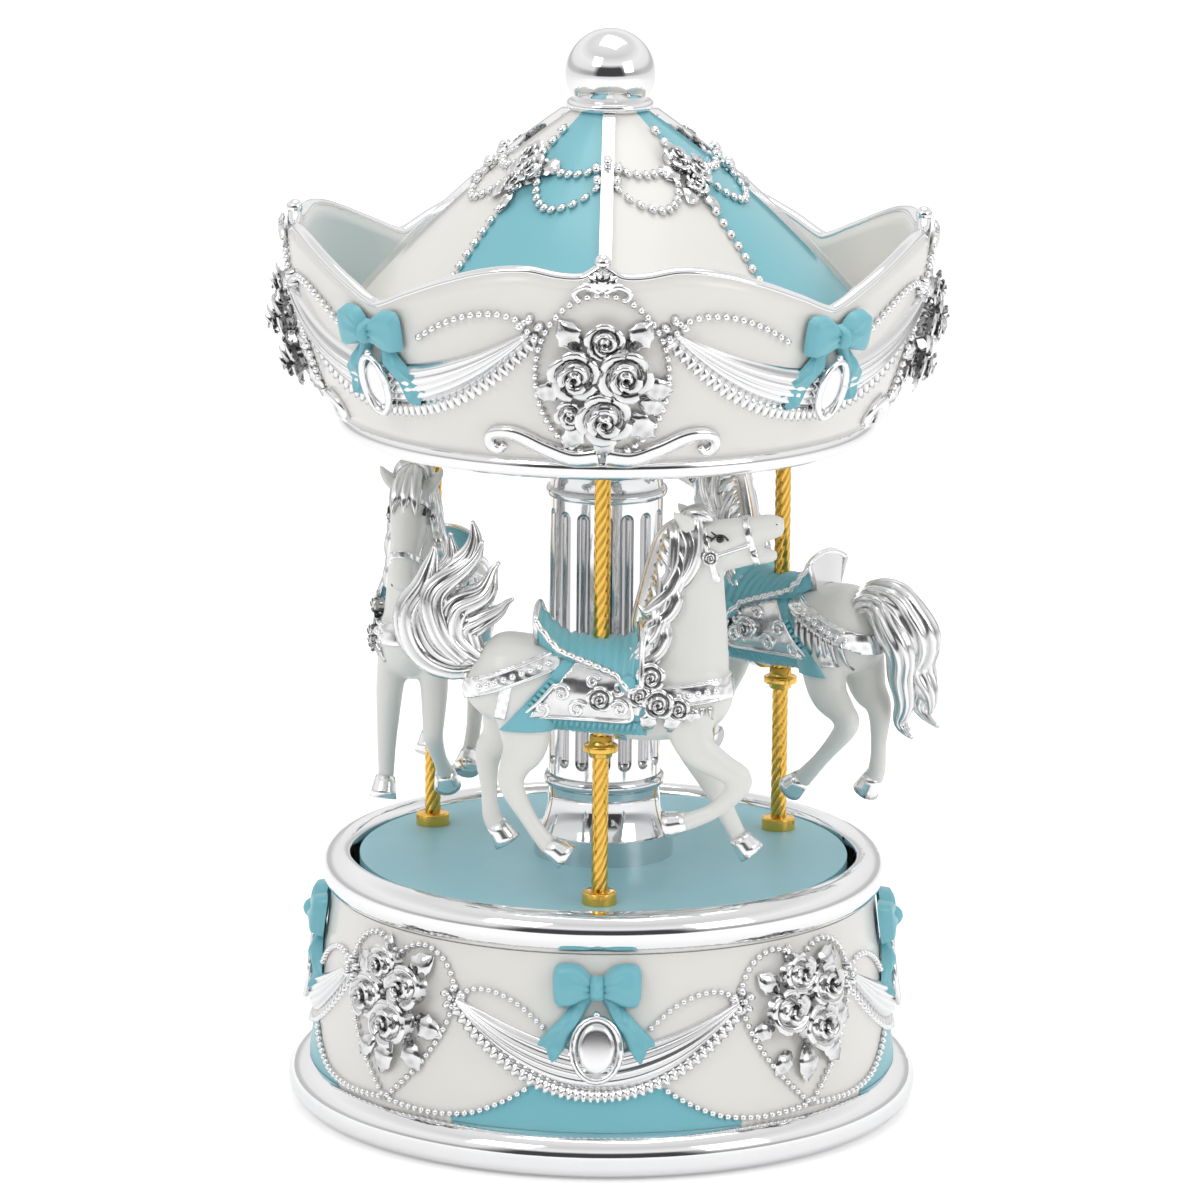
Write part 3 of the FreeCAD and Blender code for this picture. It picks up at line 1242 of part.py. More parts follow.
relief = S.relief.value
top_edge = ring_under.value
drum_edge = Part.makeLine(V(drum_foot_radius.value, 0, S.foot_height.value),
                          V(drum_top_radius.value, 0, top_edge))
drum_layer = spin_up(drum_edge, V(relief, 0, 0))
drum_deep = spin_up(drum_edge.translated(V(relief / 2, 0, 0)), V(relief * 1.9, 0, 0))


def drum_at(level):
    return drum_radius(as_size(level)).value


cameo_height = S.cameo_half.value * 2.94
base_cameo = drum_layer.common(oval(top_edge - S.cameo_drop.value, S.cameo_half.value, cameo_height))
base_bow = drum_layer.common(bow(top_edge - S.bow_drop.value, S.bow_half.value)).cut(base_cameo)
heart_top = top_edge - S.heart_drop.value
heart_half = S.heart_half.value
heart_size = S.heart_height.value
base_heart = drum_layer.common(heart(heart_top, heart_half, heart_size))
heart_places = [(x * heart_half, heart_top - z * heart_size) for x, z in (
    (-0.52, 0.3), (0.5, 0.3), (0, 0.46), (-0.3, 0.62), (0.32, 0.64))]
heart_roses = bosses(heart_places, drum_at).common(drum_deep)
base_heart = base_heart.fuse(heart_roses)
swag_low = top_edge - S.swag_drop.value
swag_half = drum_top_radius.value * 0.51
base_swag = drum_layer.common(drape(swag_low, swag_low + S.swag_depth.value * 2.1, swag_half,
                                    S.swag_depth.value))
base_swag = base_swag.cut([base_cameo, base_bow])
base_swag = base_swag.cut([turned_copy(base_heart, 45), turned_copy(base_heart, -45)])
shaped("base_cameos", repeat(base_cameo))
shaped("base_bows", repeat(base_bow))
shaped("base_hearts", repeat(base_heart, 45))
shaped("base_swags", repeat(base_swag))

crown_edge = wall_arc((crown_foot_radius, rim_top), (crown_tip_radius, crown_top), crown_arc)
crown_layer = spin_up(crown_edge, V(relief, 0, 0))
crown_deep = spin_up(crown_edge.translated(V(relief / 2, 0, 0)), V(relief * 1.9, 0, 0))
crown_round = crown_edge.Curve


def crown_at(level):
    rise = level - crown_round.Center.z
    return crown_round.Center.x + math.sqrt(crown_round.Radius ** 2 - rise * rise)


crown_low = rim_top.value
half = S.medallion_half.value
height = S.medallion_height.value
middle = crown_low + S.medallion_lift.value + height / 2
medallion = crown_layer.common(oval(middle, half, height))
rose_places = [(x * half, middle + z * height) for x, z in (
    (-0.38, 0.14), (0.36, 0.16), (0, -0.04), (-0.34, -0.24), (0.36, -0.22))]
medallion = medallion.fuse(bosses(rose_places, crown_at).common(crown_deep))
crown_cameo = crown_layer.common(oval(crown_low + S.crown_cameo_lift.value,
                                      S.cameo_half.value * 0.8, cameo_height * 0.8))
crown_bow = crown_layer.common(bow(crown_low + S.crown_bow_lift.value, S.bow_half.value * 0.82))
crown_bow = crown_bow.cut(crown_cameo)
swag_low = crown_low + S.crown_swag_lift.value
crown_swag = crown_layer.common(drape(swag_low, swag_low + S.swag_depth.value * 2.1,
                                      crown_tip_radius.value * 0.47, S.swag_depth.value))
crown_swag = crown_swag.cut([crown_cameo, crown_bow])
crown_swag = crown_swag.cut([turned_copy(medallion, 45), turned_copy(medallion, -45)])
shaped("crown_medallions", repeat(medallion))
shaped("crown_cameos", repeat(crown_cameo, 45))
shaped("crown_bows", repeat(crown_bow, 45))
shaped("crown_swags", repeat(crown_swag, 45))

doc.recompute()
tip_ball = Part.makeSphere(S.tip_radius.value, V(0, S.crown_wall.value / 2 - crown_tip_radius.value,
                                                 crown_top.value + S.tip_radius.value * 0.7))
shaped("crown_tips", repeat(main_solid(tip_ball.cut(crown.Shape))))

roof_edge = wall_arc((eave_radius, eave_level), (S.roof_top_radius, roof_top), roof_arc)
out = S.rib_thick.value
rib_layer = spin_up(roof_edge, V(out, 0, out))
rose_layer = spin_up(roof_edge, V(relief * 2, 0, relief * 2))
rib_half = S.rib_width.value / 2
rib = rib_layer.common(blade([
    (-rib_half, eave_level.value), (rib_half, eave_level.value),
    (rib_half, roof_top.value), (-rib_half, roof_top.value),
]))
shaped("roof_ribs", repeat(rib))
spray = S.spray_radius.value
roof_round = roof_edge.Curve
spray_rise = math.sqrt(roof_round.Radius ** 2 - (spray - roof_round.Center.x) ** 2)
spray_level = roof_round.Center.z + spray_rise
rose = Part.makeSphere(S.rose_radius.value, V(0, -spray, spray_level), V(1, 0, 0))
rose = rose.common(rose_layer)
shaped("roof_roses", repeat(rose, 45))

# Check every feature, then export each piece under its own name
doc.recompute()
for obj in doc.Objects:
    if "Invalid" in obj.State or "Error" in obj.State:
        raise RuntimeError(f"{obj.Name} did not build")
os.makedirs("parts", exist_ok=True)
for piece in pieces:
    if piece.Shape.isNull() or not piece.Shape.isValid():
        raise RuntimeError(f"{piece.Label} has no valid shape")
    piece.Shape.exportStep(f"parts/{piece.Label}.step")
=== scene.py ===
import math

import bmesh
import bpy
from mathutils import Matrix, Quaternion, Vector, noise


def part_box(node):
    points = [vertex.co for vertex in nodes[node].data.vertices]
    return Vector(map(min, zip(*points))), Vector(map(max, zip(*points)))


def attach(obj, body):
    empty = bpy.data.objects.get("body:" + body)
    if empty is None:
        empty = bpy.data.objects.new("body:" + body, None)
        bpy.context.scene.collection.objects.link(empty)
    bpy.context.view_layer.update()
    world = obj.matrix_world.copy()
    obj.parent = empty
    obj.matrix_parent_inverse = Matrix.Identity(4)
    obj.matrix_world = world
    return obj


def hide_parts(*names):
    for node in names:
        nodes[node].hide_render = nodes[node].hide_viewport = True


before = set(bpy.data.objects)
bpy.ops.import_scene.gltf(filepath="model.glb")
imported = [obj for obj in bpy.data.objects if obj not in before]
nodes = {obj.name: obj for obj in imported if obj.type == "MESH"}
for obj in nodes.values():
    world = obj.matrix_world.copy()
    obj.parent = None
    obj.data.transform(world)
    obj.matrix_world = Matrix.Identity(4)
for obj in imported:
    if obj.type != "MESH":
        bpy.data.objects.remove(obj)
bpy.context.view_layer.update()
mm = 0.001


def srgb(hexText):
    channels = []
    for i in (1, 3, 5):
        value = int(hexText[i:i + 2], 16) / 255
        channels.append(value / 12.92 if value <= 0.04045 else ((value + 0.055) / 1.055) ** 2.4)
    return (*channels, 1.0)


# Adds a node with its settings, and gives each named input a value or a link
def addNode(tree, kind, inputs=None, **settings):
    node = tree.nodes.new(kind)
    for name, value in settings.items():
        setattr(node, name, value)
    for place, value in (inputs or {}).items():
        if isinstance(value, bpy.types.NodeSocket):
            tree.links.new(value, node.inputs[place])
        else:
            node.inputs[place].default_value = value
    return node


# Where a Mix node keeps its two colours and their result
colorSockets = {"first": 6, "second": 7, "result": 2}


# Every surface is a Principled shader, and a look with mottle or bump gets a little unevenness, so that its
# reflection is not perfectly clean
def surface(name, look):
    made = bpy.data.materials.new(name)
    made.use_nodes = True
    tree = made.node_tree
    shader = tree.nodes["Principled BSDF"].inputs
    shader["Base Color"].default_value = srgb(look["color"])
    shader["Metallic"].default_value = look.get("metal", 0.0)
    shader["Roughness"].default_value = look["rough"]
    shader["Coat Weight"].default_value = look.get("coat", 0.0)
    shader["Coat Roughness"].default_value = 0.08
    place = addNode(tree, "ShaderNodeTexCoord").outputs["Object"]
    if "mottle" in look:
        size, low, high = look["mottle"]
        cloud = addNode(tree, "ShaderNodeTexNoise",
                        {"Vector": place, "Scale": 1 / (size * mm), "Detail": 3.0})
        spread = addNode(tree, "ShaderNodeMapRange",
                         {"Value": cloud.outputs["Fac"], "To Min": low, "To Max": high})
        tree.links.new(spread.outputs["Result"], shader["Roughness"])
    if "bump" in look:
        size, height = look["bump"]
        grain = addNode(tree, "ShaderNodeTexNoise",
                        {"Vector": place, "Scale": 1 / (size * mm), "Detail": 2.0})
        relief = addNode(tree, "ShaderNodeBump",
                         {"Height": grain.outputs["Fac"], "Strength": 0.35, "Distance": height * mm})
        tree.links.new(relief.outputs["Normal"], shader["Normal"])
    # Painted shade: the base colour blends towards a darker colour by depth, taken from the flutes' reach or
    # from the mesh's shade layer, so flutes, grooves and recesses are painted darker
    if "flutes" in look:
        floor, face = look["flutes"]
        flat = addNode(tree, "ShaderNodeVectorMath", {0: place, 1: (1.0, 1.0, 0.0)}, operation="MULTIPLY")
        reach = addNode(tree, "ShaderNodeVectorMath", {0: flat.outputs["Vector"]}, operation="LENGTH")
        limits = {"From Min": floor * mm, "From Max": face * mm, "To Min": 1.0, "To Max": 0.0}
        depth = addNode(tree, "ShaderNodeMapRange",
                        {"Value": reach.outputs["Value"], **limits}).outputs["Result"]
    elif "hollow" in look:
        depth = addNode(tree, "ShaderNodeAttribute", attribute_name="hollow").outputs["Fac"]
    if "hollow" in look:
        colors = {colorSockets["first"]: srgb(look["color"]), colorSockets["second"]: srgb(look["hollow"])}
        blend = addNode(tree, "ShaderNodeMix", {0: depth, **colors}, data_type="RGBA")
        tree.links.new(blend.outputs[colorSockets["result"]], shader["Base Color"])
    return made


looks = {
    # warm white lacquer with a soft shine, the calm ground between the ornaments
    "pearlLacquer": {"color": "#e9e7e2", "rough": 0.3, "coat": 0.35, "mottle": (6, 0.24, 0.38)},
    # pale teal lacquer of the bows, saddles and roof panels
    "tealLacquer": {"color": "#76bcc8", "rough": 0.34, "coat": 0.2, "mottle": (5, 0.28, 0.42)},
    # a paler teal than the bows, painted lighter still to offset the canopy's shade, and duller
    "platformTealLightened": {"color": "#97cbd6", "rough": 0.42, "mottle": (4, 0.36, 0.5)},
    # bright plating that mirrors the studio, wavy as cast resin is
    "silverPlate": {"color": "#f2f2f3", "metal": 1.0, "rough": 0.07, "bump": (9, 0.12)},
    # plating over fine relief, with painted shade, near black, where the relief is deep
    "shadedReliefSilver": {"color": "#f1f1f2", "metal": 1.0, "rough": 0.14, "hollow": "#3c3a38"},
    # the same plating left bright over hair, straps and cameos, with a lighter painted shade in their grooves
    "castSilver": {"color": "#f4f4f5", "metal": 1.0, "rough": 0.2, "hollow": "#85837f"},
    # plating of the column, which mirrors the platform, and painted greyer in the flutes of its shaft as
    # shade
    "columnSilver": {"color": "#dfe0e2", "metal": 1.0, "rough": 0.06},
    "flutedSilver": {"color": "#f2f2f3", "metal": 1.0, "rough": 0.1, "hollow": "#aeaeb1",
                     "flutes": (7.85, 8.95)},
    # polished gold of the poles and collars, painted darker in the grooves of the twist as shade
    "goldPlate": {"color": "#f0c25e", "metal": 1.0, "rough": 0.2, "hollow": "#b07f2c"},
    # milky enamel of the horses
    "horseEnamel": {"color": "#e4e4e0", "rough": 0.36, "coat": 0.25, "mottle": (3, 0.3, 0.46)},
    # painted eyes
    "blackEnamel": {"color": "#0b0a0a", "rough": 0.2, "coat": 0.5},
    # dull black moulding of the underside
    "blackMoulding": {"color": "#1b1b1c", "rough": 0.6},
    # bare metal of the movement: grey steel, blue spring, yellow brass and dull cast zinc
    "plainSteel": {"color": "#b9bcc0", "metal": 1.0, "rough": 0.28, "bump": (1.5, 0.02)},
    "bluedSteel": {"color": "#59606e", "metal": 1.0, "rough": 0.3},
    "turnedBrass": {"color": "#d8b062", "metal": 1.0, "rough": 0.24, "bump": (1.2, 0.02)},
    "castZinc": {"color": "#9a9ca0", "metal": 1.0, "rough": 0.45, "bump": (0.8, 0.05)},
}
materials = {name: surface(name, look) for name, look in looks.items()}

# The roof is painted in eight panels, teal and pearl in turn: the sign of xy(xx - yy) changes at each edge
roofColors = {"pearl": "#e9e7e2", "teal": "#7cbfca"}
roofPaint = surface("roofPaint", {"color": roofColors["pearl"], "rough": 0.3, "coat": 0.3})
tree = roofPaint.node_tree
place = addNode(tree, "ShaderNodeTexCoord")
axes = addNode(tree, "ShaderNodeSeparateXYZ", {"Vector": place.outputs["Object"]}).outputs
products = [addNode(tree, "ShaderNodeMath", {0: axes[a], 1: axes[b]}, operation="MULTIPLY").outputs["Value"]
            for a, b in ("XY", "XX", "YY")]
square = addNode(tree, "ShaderNodeMath", {0: products[1], 1: products[2]}, operation="SUBTRACT")
turned = addNode(tree, "ShaderNodeMath", {0: products[0], 1: square.outputs["Value"]}, operation="MULTIPLY")
teal = addNode(tree, "ShaderNodeMath", {0: turned.outputs["Value"], 1: 0.0}, operation="LESS_THAN")
colors = {colorSockets["first"]: srgb(roofColors["pearl"]), colorSockets["second"]: srgb(roofColors["teal"])}
panel = addNode(tree, "ShaderNodeMix", {0: teal.outputs["Value"], **colors}, data_type="RGBA")
tree.links.new(panel.outputs[colorSockets["result"]], tree.nodes["Principled BSDF"].inputs["Base Color"])
materials["roofPaint"] = roofPaint
print("stage: materials")


# Flat shapes are drawn in millimetres, then stamped onto a wall
def stamp(target, source, move=Vector):
    source.verts.index_update()
    deep = source.verts.layers.float["hollow"]
    keep = target.verts.layers.float["hollow"]
    made = []
    for vert in source.verts:
        copy = target.verts.new(move(vert.co))
        copy[keep] = vert[deep]
        made.append(copy)
    for face in source.faces:
        target.faces.new([made[vert.index] for vert in face.verts])


def moved(u, v, w=0.0, size=1.0, angle=0.0, flip=1):
    turn = Matrix.Rotation(math.radians(angle), 3, "Z")

    def move(point):
        return turn @ Vector((point.x * flip * size, point.y * size, point.z * size)) + Vector((u, v, w))
    return move


# A place round the axis, counted from the front
def around(radius, turn, level):
    angle = math.radians(turn)
    return Vector((radius * math.sin(angle), -radius * math.cos(angle), level))


def onWall(wall, turn):
    def move(point):
        radius = wall(point.y)
        slope = (wall(point.y + 0.05) - wall(point.y - 0.05)) / 0.1
        out = Vector((1, -slope)).normalized() * point.z
        angle = math.radians(turn) + point.x / radius
        reach = radius + out.x
        return Vector((reach * math.sin(angle), -reach * math.cos(angle), point.y + out.y)) * mm
    return move


def arcThrough(low, high, rise):
    chord = Vector(high) - Vector(low)
    radius = (chord.length ** 2 / 4 + rise ** 2) / (2 * rise)
    middle = (Vector(low) + Vector(high)) / 2
    center = middle + Vector((-chord.y, chord.x)).normalized() * (radius - rise)
    return lambda level: center.x + math.sqrt(max(radius ** 2 - (level - center.y) ** 2, 0.0))


def smoothPath(points, count, closed=False):
    points = [Vector(p) for p in points]
    total = len(points)
    spans = total if closed else total - 1
    result = []
    for i in range(count if closed else count + 1):
        place = i * spans / count
        k = min(int(place), spans - 1)
        t = place - k
        if closed:
            a, b, c, d = (points[(k + j) % total] for j in (-1, 0, 1, 2))
        else:
            a, b, c, d = (points[min(max(k + j, 0), total - 1)] for j in (-1, 0, 1, 2))
        result.append(0.5 * (2 * b + (c - a) * t + (2 * a - 5 * b + 4 * c - d) * t ** 2
                             + (3 * b - a - 3 * c + d) * t ** 3))
    return result


def evenPath(points, step):
    fine = smoothPath(points, 40 * (len(points) - 1))
    result = [fine[0]]
    left = step
    for a, b in zip(fine, fine[1:]):
        length = (b - a).length
        while left <= length:
            a = a.lerp(b, left / length)
            length -= left
            result.append(a)
            left = step
        left -= length
    return result


def gridFaces(shape, rows, closed=False):
    for a, b in zip(rows, rows[1:]):
        count = len(a)
        for i in range(count if closed else count - 1):
            j = (i + 1) % count
            shape.faces.new((a[i], a[j], b[j], b[i]))


# Rows hold points with their share of painted shade, and the skin may close round and be capped
def addSkin(shape, rows, closed=False, capped=False):
    deep = shape.verts.layers.float["hollow"]
    made = []
    for row in rows:
        line = []
        for point, dark in row:
            vert = shape.verts.new(point)
            vert[deep] = dark
            line.append(vert)
        made.append(line)
    gridFaces(shape, made, closed)
    if capped:
        shape.faces.new(made[0][::-1])
        shape.faces.new(made[-1])
    return made


def flipped(points, flip):
    return [Vector((x * flip, z)) for x, z in points]


def newShape():
    shape = bmesh.new()
    shape.verts.layers.float.new("hollow")
    return shape


def pillow(outline, height, rings=4, sink=0.3, crease=None, flat=2.0):
    shape = newShape()
    rim = smoothPath(outline, 7 * len(outline), True)
    center = sum(rim, Vector((0, 0))) / len(rim)
    rows = []
    for k in range(rings + 1):
        share = 1 - k / (rings + 0.4)
        row = []
        for point in rim:
            spot = center + (point - center) * share
            lift = -sink if k == 0 else height * (1 - share ** flat) ** (1 / flat)
            if crease and k:
                lift += crease(spot)
            # The sunk rim, where the piece meets the wall, gets painted shade
            row.append(((spot.x, spot.y, lift), 0.4 if k == 0 else 0.0))
        rows.append(row)
    shape.faces.new(addSkin(shape, rows, True)[-1])
    return shape


def tube(path, radius, sides=8, squash=1.0, groove=0.0, strands=5, tip=True):
    shape = newShape()
    rows = []
    side = None
    for i, point in enumerate(path):
        along = (path[min(i + 1, len(path) - 1)] - path[max(i - 1, 0)]).normalized()
        if side is None:
            side = along.cross(Vector((0, 0, 1)))
            if side.length < 0.1:
                side = along.cross(Vector((0, 1, 0)))
        side = (side - along * side.dot(along)).normalized()
        up = side.cross(along)
        reach = radius(i / (len(path) - 1)) if callable(radius) else radius
        row = []
        for k in range(sides):
            angle = 2 * math.pi * k / sides
            # Painted shade darkens the grooves between the strands
            wave = math.cos(strands * angle + i * 0.18)
            out = reach * (1 + groove * wave)
            spot = point + side * out * math.cos(angle) + up * out * squash * math.sin(angle)
            row.append((spot, max(0.0, -wave) * min(1.0, groove * 5)))
        rows.append(row)
    addSkin(shape, rows, True, tip)
    return shape


def bead(radius, sink=0.15):
    shape = newShape()
    bmesh.ops.create_icosphere(shape, subdivisions=1, radius=radius)
    bmesh.ops.translate(shape, verts=shape.verts, vec=(0, 0, radius - sink))
    return shape


def addBeads(target, path, radius):
    ball = bead(radius)
    for point in evenPath(path, radius * 2.2):
        stamp(target, ball, moved(point.x, point.y))


# A rose is three rows of curled petals, with painted shade between them, from one reach and lift to another
def rose():
    shape = newShape()
    rowsOfPetals = (
        {"count": 2, "from": (0.02, 0.6), "to": (0.28, 1.05), "span": 86, "start": 0, "skew": 0.2},
        {"count": 3, "from": (0.16, 0.3), "to": (0.58, 0.92), "span": 64, "start": 35, "skew": 0.16},
        {"count": 5, "from": (0.34, -0.1), "to": (1.02, 0.66), "span": 45, "start": 10, "skew": 0.1},
    )
    for petals in rowsOfPetals:
        inner, low = petals["from"]
        outer, high = petals["to"]
        for i in range(petals["count"]):
            middle = petals["start"] + 360 * i / petals["count"]
            rows = []
            for t in (0.0, 0.35, 0.7, 0.92, 1.0):
                row = []
                for s in (-1.0, -0.55, 0.0, 0.55, 1.0):
                    angle = math.radians(middle + s * petals["span"] * (1 - 0.25 * t * t))
                    grown = t * (1 - 0.15 * s * s) * (1 + petals["skew"] * s)
                    reach = inner + (outer - inner) * grown
                    lift = low + (high - low) * math.sin(t * 2.1)
                    lift += 0.09 * s * t - 0.08 * s * s * t
                    spot = (reach * math.cos(angle), reach * math.sin(angle), lift)
                    # Painted shade at each petal's base and under its overlapped edge
                    row.append((spot, max((1 - t) ** 1.5, 0.6 * max(0.0, -s) ** 2)))
                rows.append(row)
            addSkin(shape, rows)
    base = [Vector((0.8 * math.cos(a), 0.8 * math.sin(a))) for a in (k * math.pi / 4 for k in range(8))]
    stamp(shape, pillow(base, 0.45, 2))
    return shape


# A leaf lies along +x, folded on its vein, with a toothed edge
def leaf():
    shape = newShape()
    rows = []
    for i in range(8):
        x = i / 7
        half = 0.33 * math.sin(math.pi * min(1.0, x * 0.94 + 0.05)) ** 0.8
        half *= 1.12 if i % 2 else 0.92
        row = []
        for s in (-1.0, -0.5, 0.0, 0.5, 1.0):
            lift = 0.08 + 0.16 * math.sin(math.pi * x) - 0.07 * (1 - abs(s)) + 0.03 * (1 if i % 2 else 0)
            spot = (x, s * half, lift - (0.16 if abs(s) == 1 else 0))
            # Painted shade along the sunk vein
            row.append((spot, 0.4 * (1 - abs(s)) * (0.5 + 0.5 * (i % 2))))
        rows.append(row)
    addSkin(shape, rows)
    return shape


def flower():
    shape = newShape()
    petal = pillow([Vector((0.25, 0.0)), Vector((0.6, 0.33)), Vector((1.05, 0.2)), Vector((1.05, -0.2)),
                    Vector((0.6, -0.33))], 0.34, 2)
    for i in range(5):
        stamp(shape, petal, moved(0, 0, 0, 1, 72 * i + 18))
    stamp(shape, bead(0.26), moved(0, 0, 0.25))
    return shape


roseShape = rose()
leafShape = leaf()
flowerShape = flower()


# Each finished piece rides on a body and may stand for CAD nodes
def finish(name, shape, look, body, instead=()):
    bmesh.ops.recalc_face_normals(shape, faces=shape.faces)
    mesh = bpy.data.meshes.new(name)
    shape.to_mesh(mesh)
    mesh.materials.append(materials[look])
    for polygon in mesh.polygons:
        polygon.use_smooth = True
    made = bpy.data.objects.new(name, mesh)
    bpy.context.scene.collection.objects.link(made)
    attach(made, body)
    if instead:
        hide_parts(*instead)


def fourTimes(flat, wall, turn=0):
    shape = newShape()
    for quarter in range(0, 360, 90):
        stamp(shape, flat, onWall(wall, quarter + turn))
    return shape


# Plain turned and machined pieces keep their CAD form
plainLooks = {
    "silverPlate": ("foot_ring", "top_ring", "canopy_ring", "roof_ribs", "finial_collar", "finial_ball",
                    "crown_tips"),
    "columnSilver": ("column_base", "column_capital"),
    "flutedSilver": ("column_shaft",),
    "pearlLacquer": ("base_drum", "canopy_floor"),
    "platformTealLightened": ("platform",),
    "roofPaint": ("roof",),
    "goldPlate": ("pole_collars",),
    "blackMoulding": ("bottom_plate",),
    "plainSteel": ("plate_screws", "movement_screws", "comb", "comb_screws", "governor_bracket", "tie_rod",
                   "tie_nut", "winding_key", "winding_arbor", "cylinder_pinion", "governor_worm"),
    "bluedSteel": ("mainspring",),
    "turnedBrass": ("spring_barrel", "drive_hub", "pin_cylinder", "governor_wheel"),
    "castZinc": ("movement_bedplate", "cylinder_brackets"),
}
for look, names in plainLooks.items():
    for name in names:
        nodes[name].data.materials.clear()
        nodes[name].data.materials.append(materials[look])


# Shapes of the base's wall ornaments
drum = {"foot": 47.0, "taper": 3.5, "low": 7.0, "high": 34.6}


def drumWall(level):
    return drum["foot"] - drum["taper"] * (level - drum["low"]) / (drum["high"] - drum["low"])


bow = {
    "loop": ((0.5, 1.1), (2.3, 3.3), (4.8, 3.8), (6.5, 3.1), (6.8, 0.0), (6.3, -2.8), (4.3, -3.0),
             (1.9, -1.9), (0.5, -1.1)),
    "tail": ((0.2, -0.3), (2.3, -1.1), (6.0, -5.2), (10.0, -9.8), (8.2, -10.2), (6.6, -12.4), (3.8, -7.4),
             (1.0, -2.4)),
    "knot": ((0.95, 1.8), (1.2, 0.0), (0.95, -1.8), (-0.95, -1.8), (-1.2, 0.0), (-0.95, 1.8)),
    "puff": 2.2, "tailPuff": 1.2, "knotPuff": 2.5, "folds": 0.4, "flat": 3.2,
}


def loopFold(point):
    angle = math.atan2(point.y, abs(point.x))
    near = max(0.0, 1 - abs(point.x) / 6)
    return bow["folds"] * math.cos(angle * 9) * near


def ribbonBow():
    shape = newShape()
    loop = pillow([Vector(p) for p in bow["loop"]], bow["puff"], 6, 0.3, loopFold, bow["flat"])
    tail = pillow([Vector(p) for p in bow["tail"]], bow["tailPuff"], 5, 0.3,
                  lambda p: 0.5 * math.cos(p.y * 1.1) + 0.2 * math.cos(p.x * 2.6), bow["flat"])
    knot = pillow([Vector(p) for p in bow["knot"]], bow["knotPuff"], 4, 0.3,
                  lambda p: 0.15 * math.cos(p.x * 5))
    for flip in (1, -1):
        stamp(shape, tail, moved(0, 0, 0.7, 1, 0, flip))
        stamp(shape, loop, moved(0, 0, 1.0, 1, 0, flip))
    stamp(shape, knot, moved(0, 0, 1.5))
    return shape


def ovalPath(half, tall, count=24):
    return [Vector((half * math.cos(a), tall * math.sin(a), 0)) for a in
            (2 * math.pi * k / count for k in range(count))]


def pendant(half, tall):
    shape = newShape()
    ring = ovalPath(half, tall)
    stamp(shape, tube(ring + ring[:2], 0.55, 6, tip=False), moved(0, 0, 1.3))
    flat = [Vector((p.x * 0.86, p.y * 0.86)) for p in ring[::2]]
    stamp(shape, pillow(flat, 0.4, 5), moved(0, 0, 0.9))
    stamp(shape, bead(0.7), moved(0, tall + 0.5, 0.6))
    return shape


# Pleated cloth between two heights, gathered at both ends, with a ruffled hem
def swag(form):
    shape = newShape()
    along, across = 72, 16
    rows = []
    for i in range(along + 1):
        s = -1 + 2 * i / along
        far = abs(s)
        top = form["top"] + form["topRise"] * far ** form["topCurve"]
        low = form["low"] + form["lowRise"] * far ** form["lowCurve"]
        row = []
        for j in range(across + 1):
            t = j / across
            fold = math.cos(t * 2 * math.pi * form["pleats"] + 0.5 * math.sin(3 * s))
            lift = form["puff"] * math.sin(math.pi * min(1, 0.08 + t * 0.9)) ** 0.7
            lift += form["fold"] * fold * (0.35 + 0.65 * min(1, (1 - far) * 4 + 0.25))
            if j in (0, across):
                lift = -0.3
            # Painted shade in the low parts of the pleats
            row.append(((s * form["half"], top + (low - top) * t, lift), 0.28 * max(0, -fold)))
        rows.append(row)
    addSkin(shape, rows)
    hem = []
    waves = form["ruffles"]
    count = waves * 6
    for i in range(count + 1):
        s = -1 + 2 * i / count
        far = abs(s)
        low = form["low"] + form["lowRise"] * far ** form["lowCurve"]
        slope = form["lowRise"] * form["lowCurve"] * far ** (form["lowCurve"] - 1) / form["half"]
        out = Vector((math.copysign(slope, s), -1)).normalized()
        wave = math.sin(math.pi * waves * s + 1.3 * math.sin(7 * s))
        row = []
        for t in (0.0, 0.1, 0.5, 0.96, 1.0):
            reach = form["hem"] * t * (0.9 + 0.1 * wave)
            lift = 0.3 + 0.4 * t + 0.26 * wave * (0.3 + 0.7 * t) if 0 < t < 1 else -0.2
            spot = (s * form["half"] + out.x * reach, low + 0.25 + out.y * reach, lift)
            # Painted shade in the low parts of the ruffles
            row.append((spot, 0.5 * max(0, -wave)))
        hem.append(row)
    addSkin(shape, hem)
    return shape


def posy(target, places, leaves):
    for u, v, w, size, angle in places:
        stamp(target, roseShape, moved(u, v, w, size, angle))
    for u, v, w, size, angle in leaves:
        stamp(target, leafShape, moved(u, v, w, size, angle))


# A bow, a cameo below it and a swag behind them, in each quarter of a wall
def dressWall(part, body, wall, turn, trim):
    bows = newShape()
    stamp(bows, ribbonBow(), moved(0, trim["knot"], trim["bowLift"], trim["bowSize"]))
    cameos = newShape()
    stamp(cameos, pendant(trim["cameoHalf"], trim["cameoTall"]), moved(0, trim["cameo"], trim["cameoLift"]))
    for name, flat, look, slotName in (("Bows", bows, "tealLacquer", "teal"),
                                       ("Cameos", cameos, "castSilver", "silver"),
                                       ("Swags", swag(trim["swag"]), "castSilver", "silver")):
        finish(part + name, fourTimes(flat, wall, turn), look, body, (f"{part}_{name.lower()}",))


baseTrim = {
    "knot": 29.6, "bowLift": 0.0, "bowSize": 1.0,
    "cameo": 20.2, "cameoLift": 0.6, "cameoHalf": 3.6, "cameoTall": 4.9,
    "swag": {"half": 22.3, "top": 19.6, "topRise": 6.9, "topCurve": 1.35, "low": 13.6, "lowRise": 11.6,
             "lowCurve": 2.1, "puff": 1.5, "fold": 0.24, "pleats": 5, "hem": 2.1, "ruffles": 40},
}
dressWall("base", "base", drumWall, 0, baseTrim)

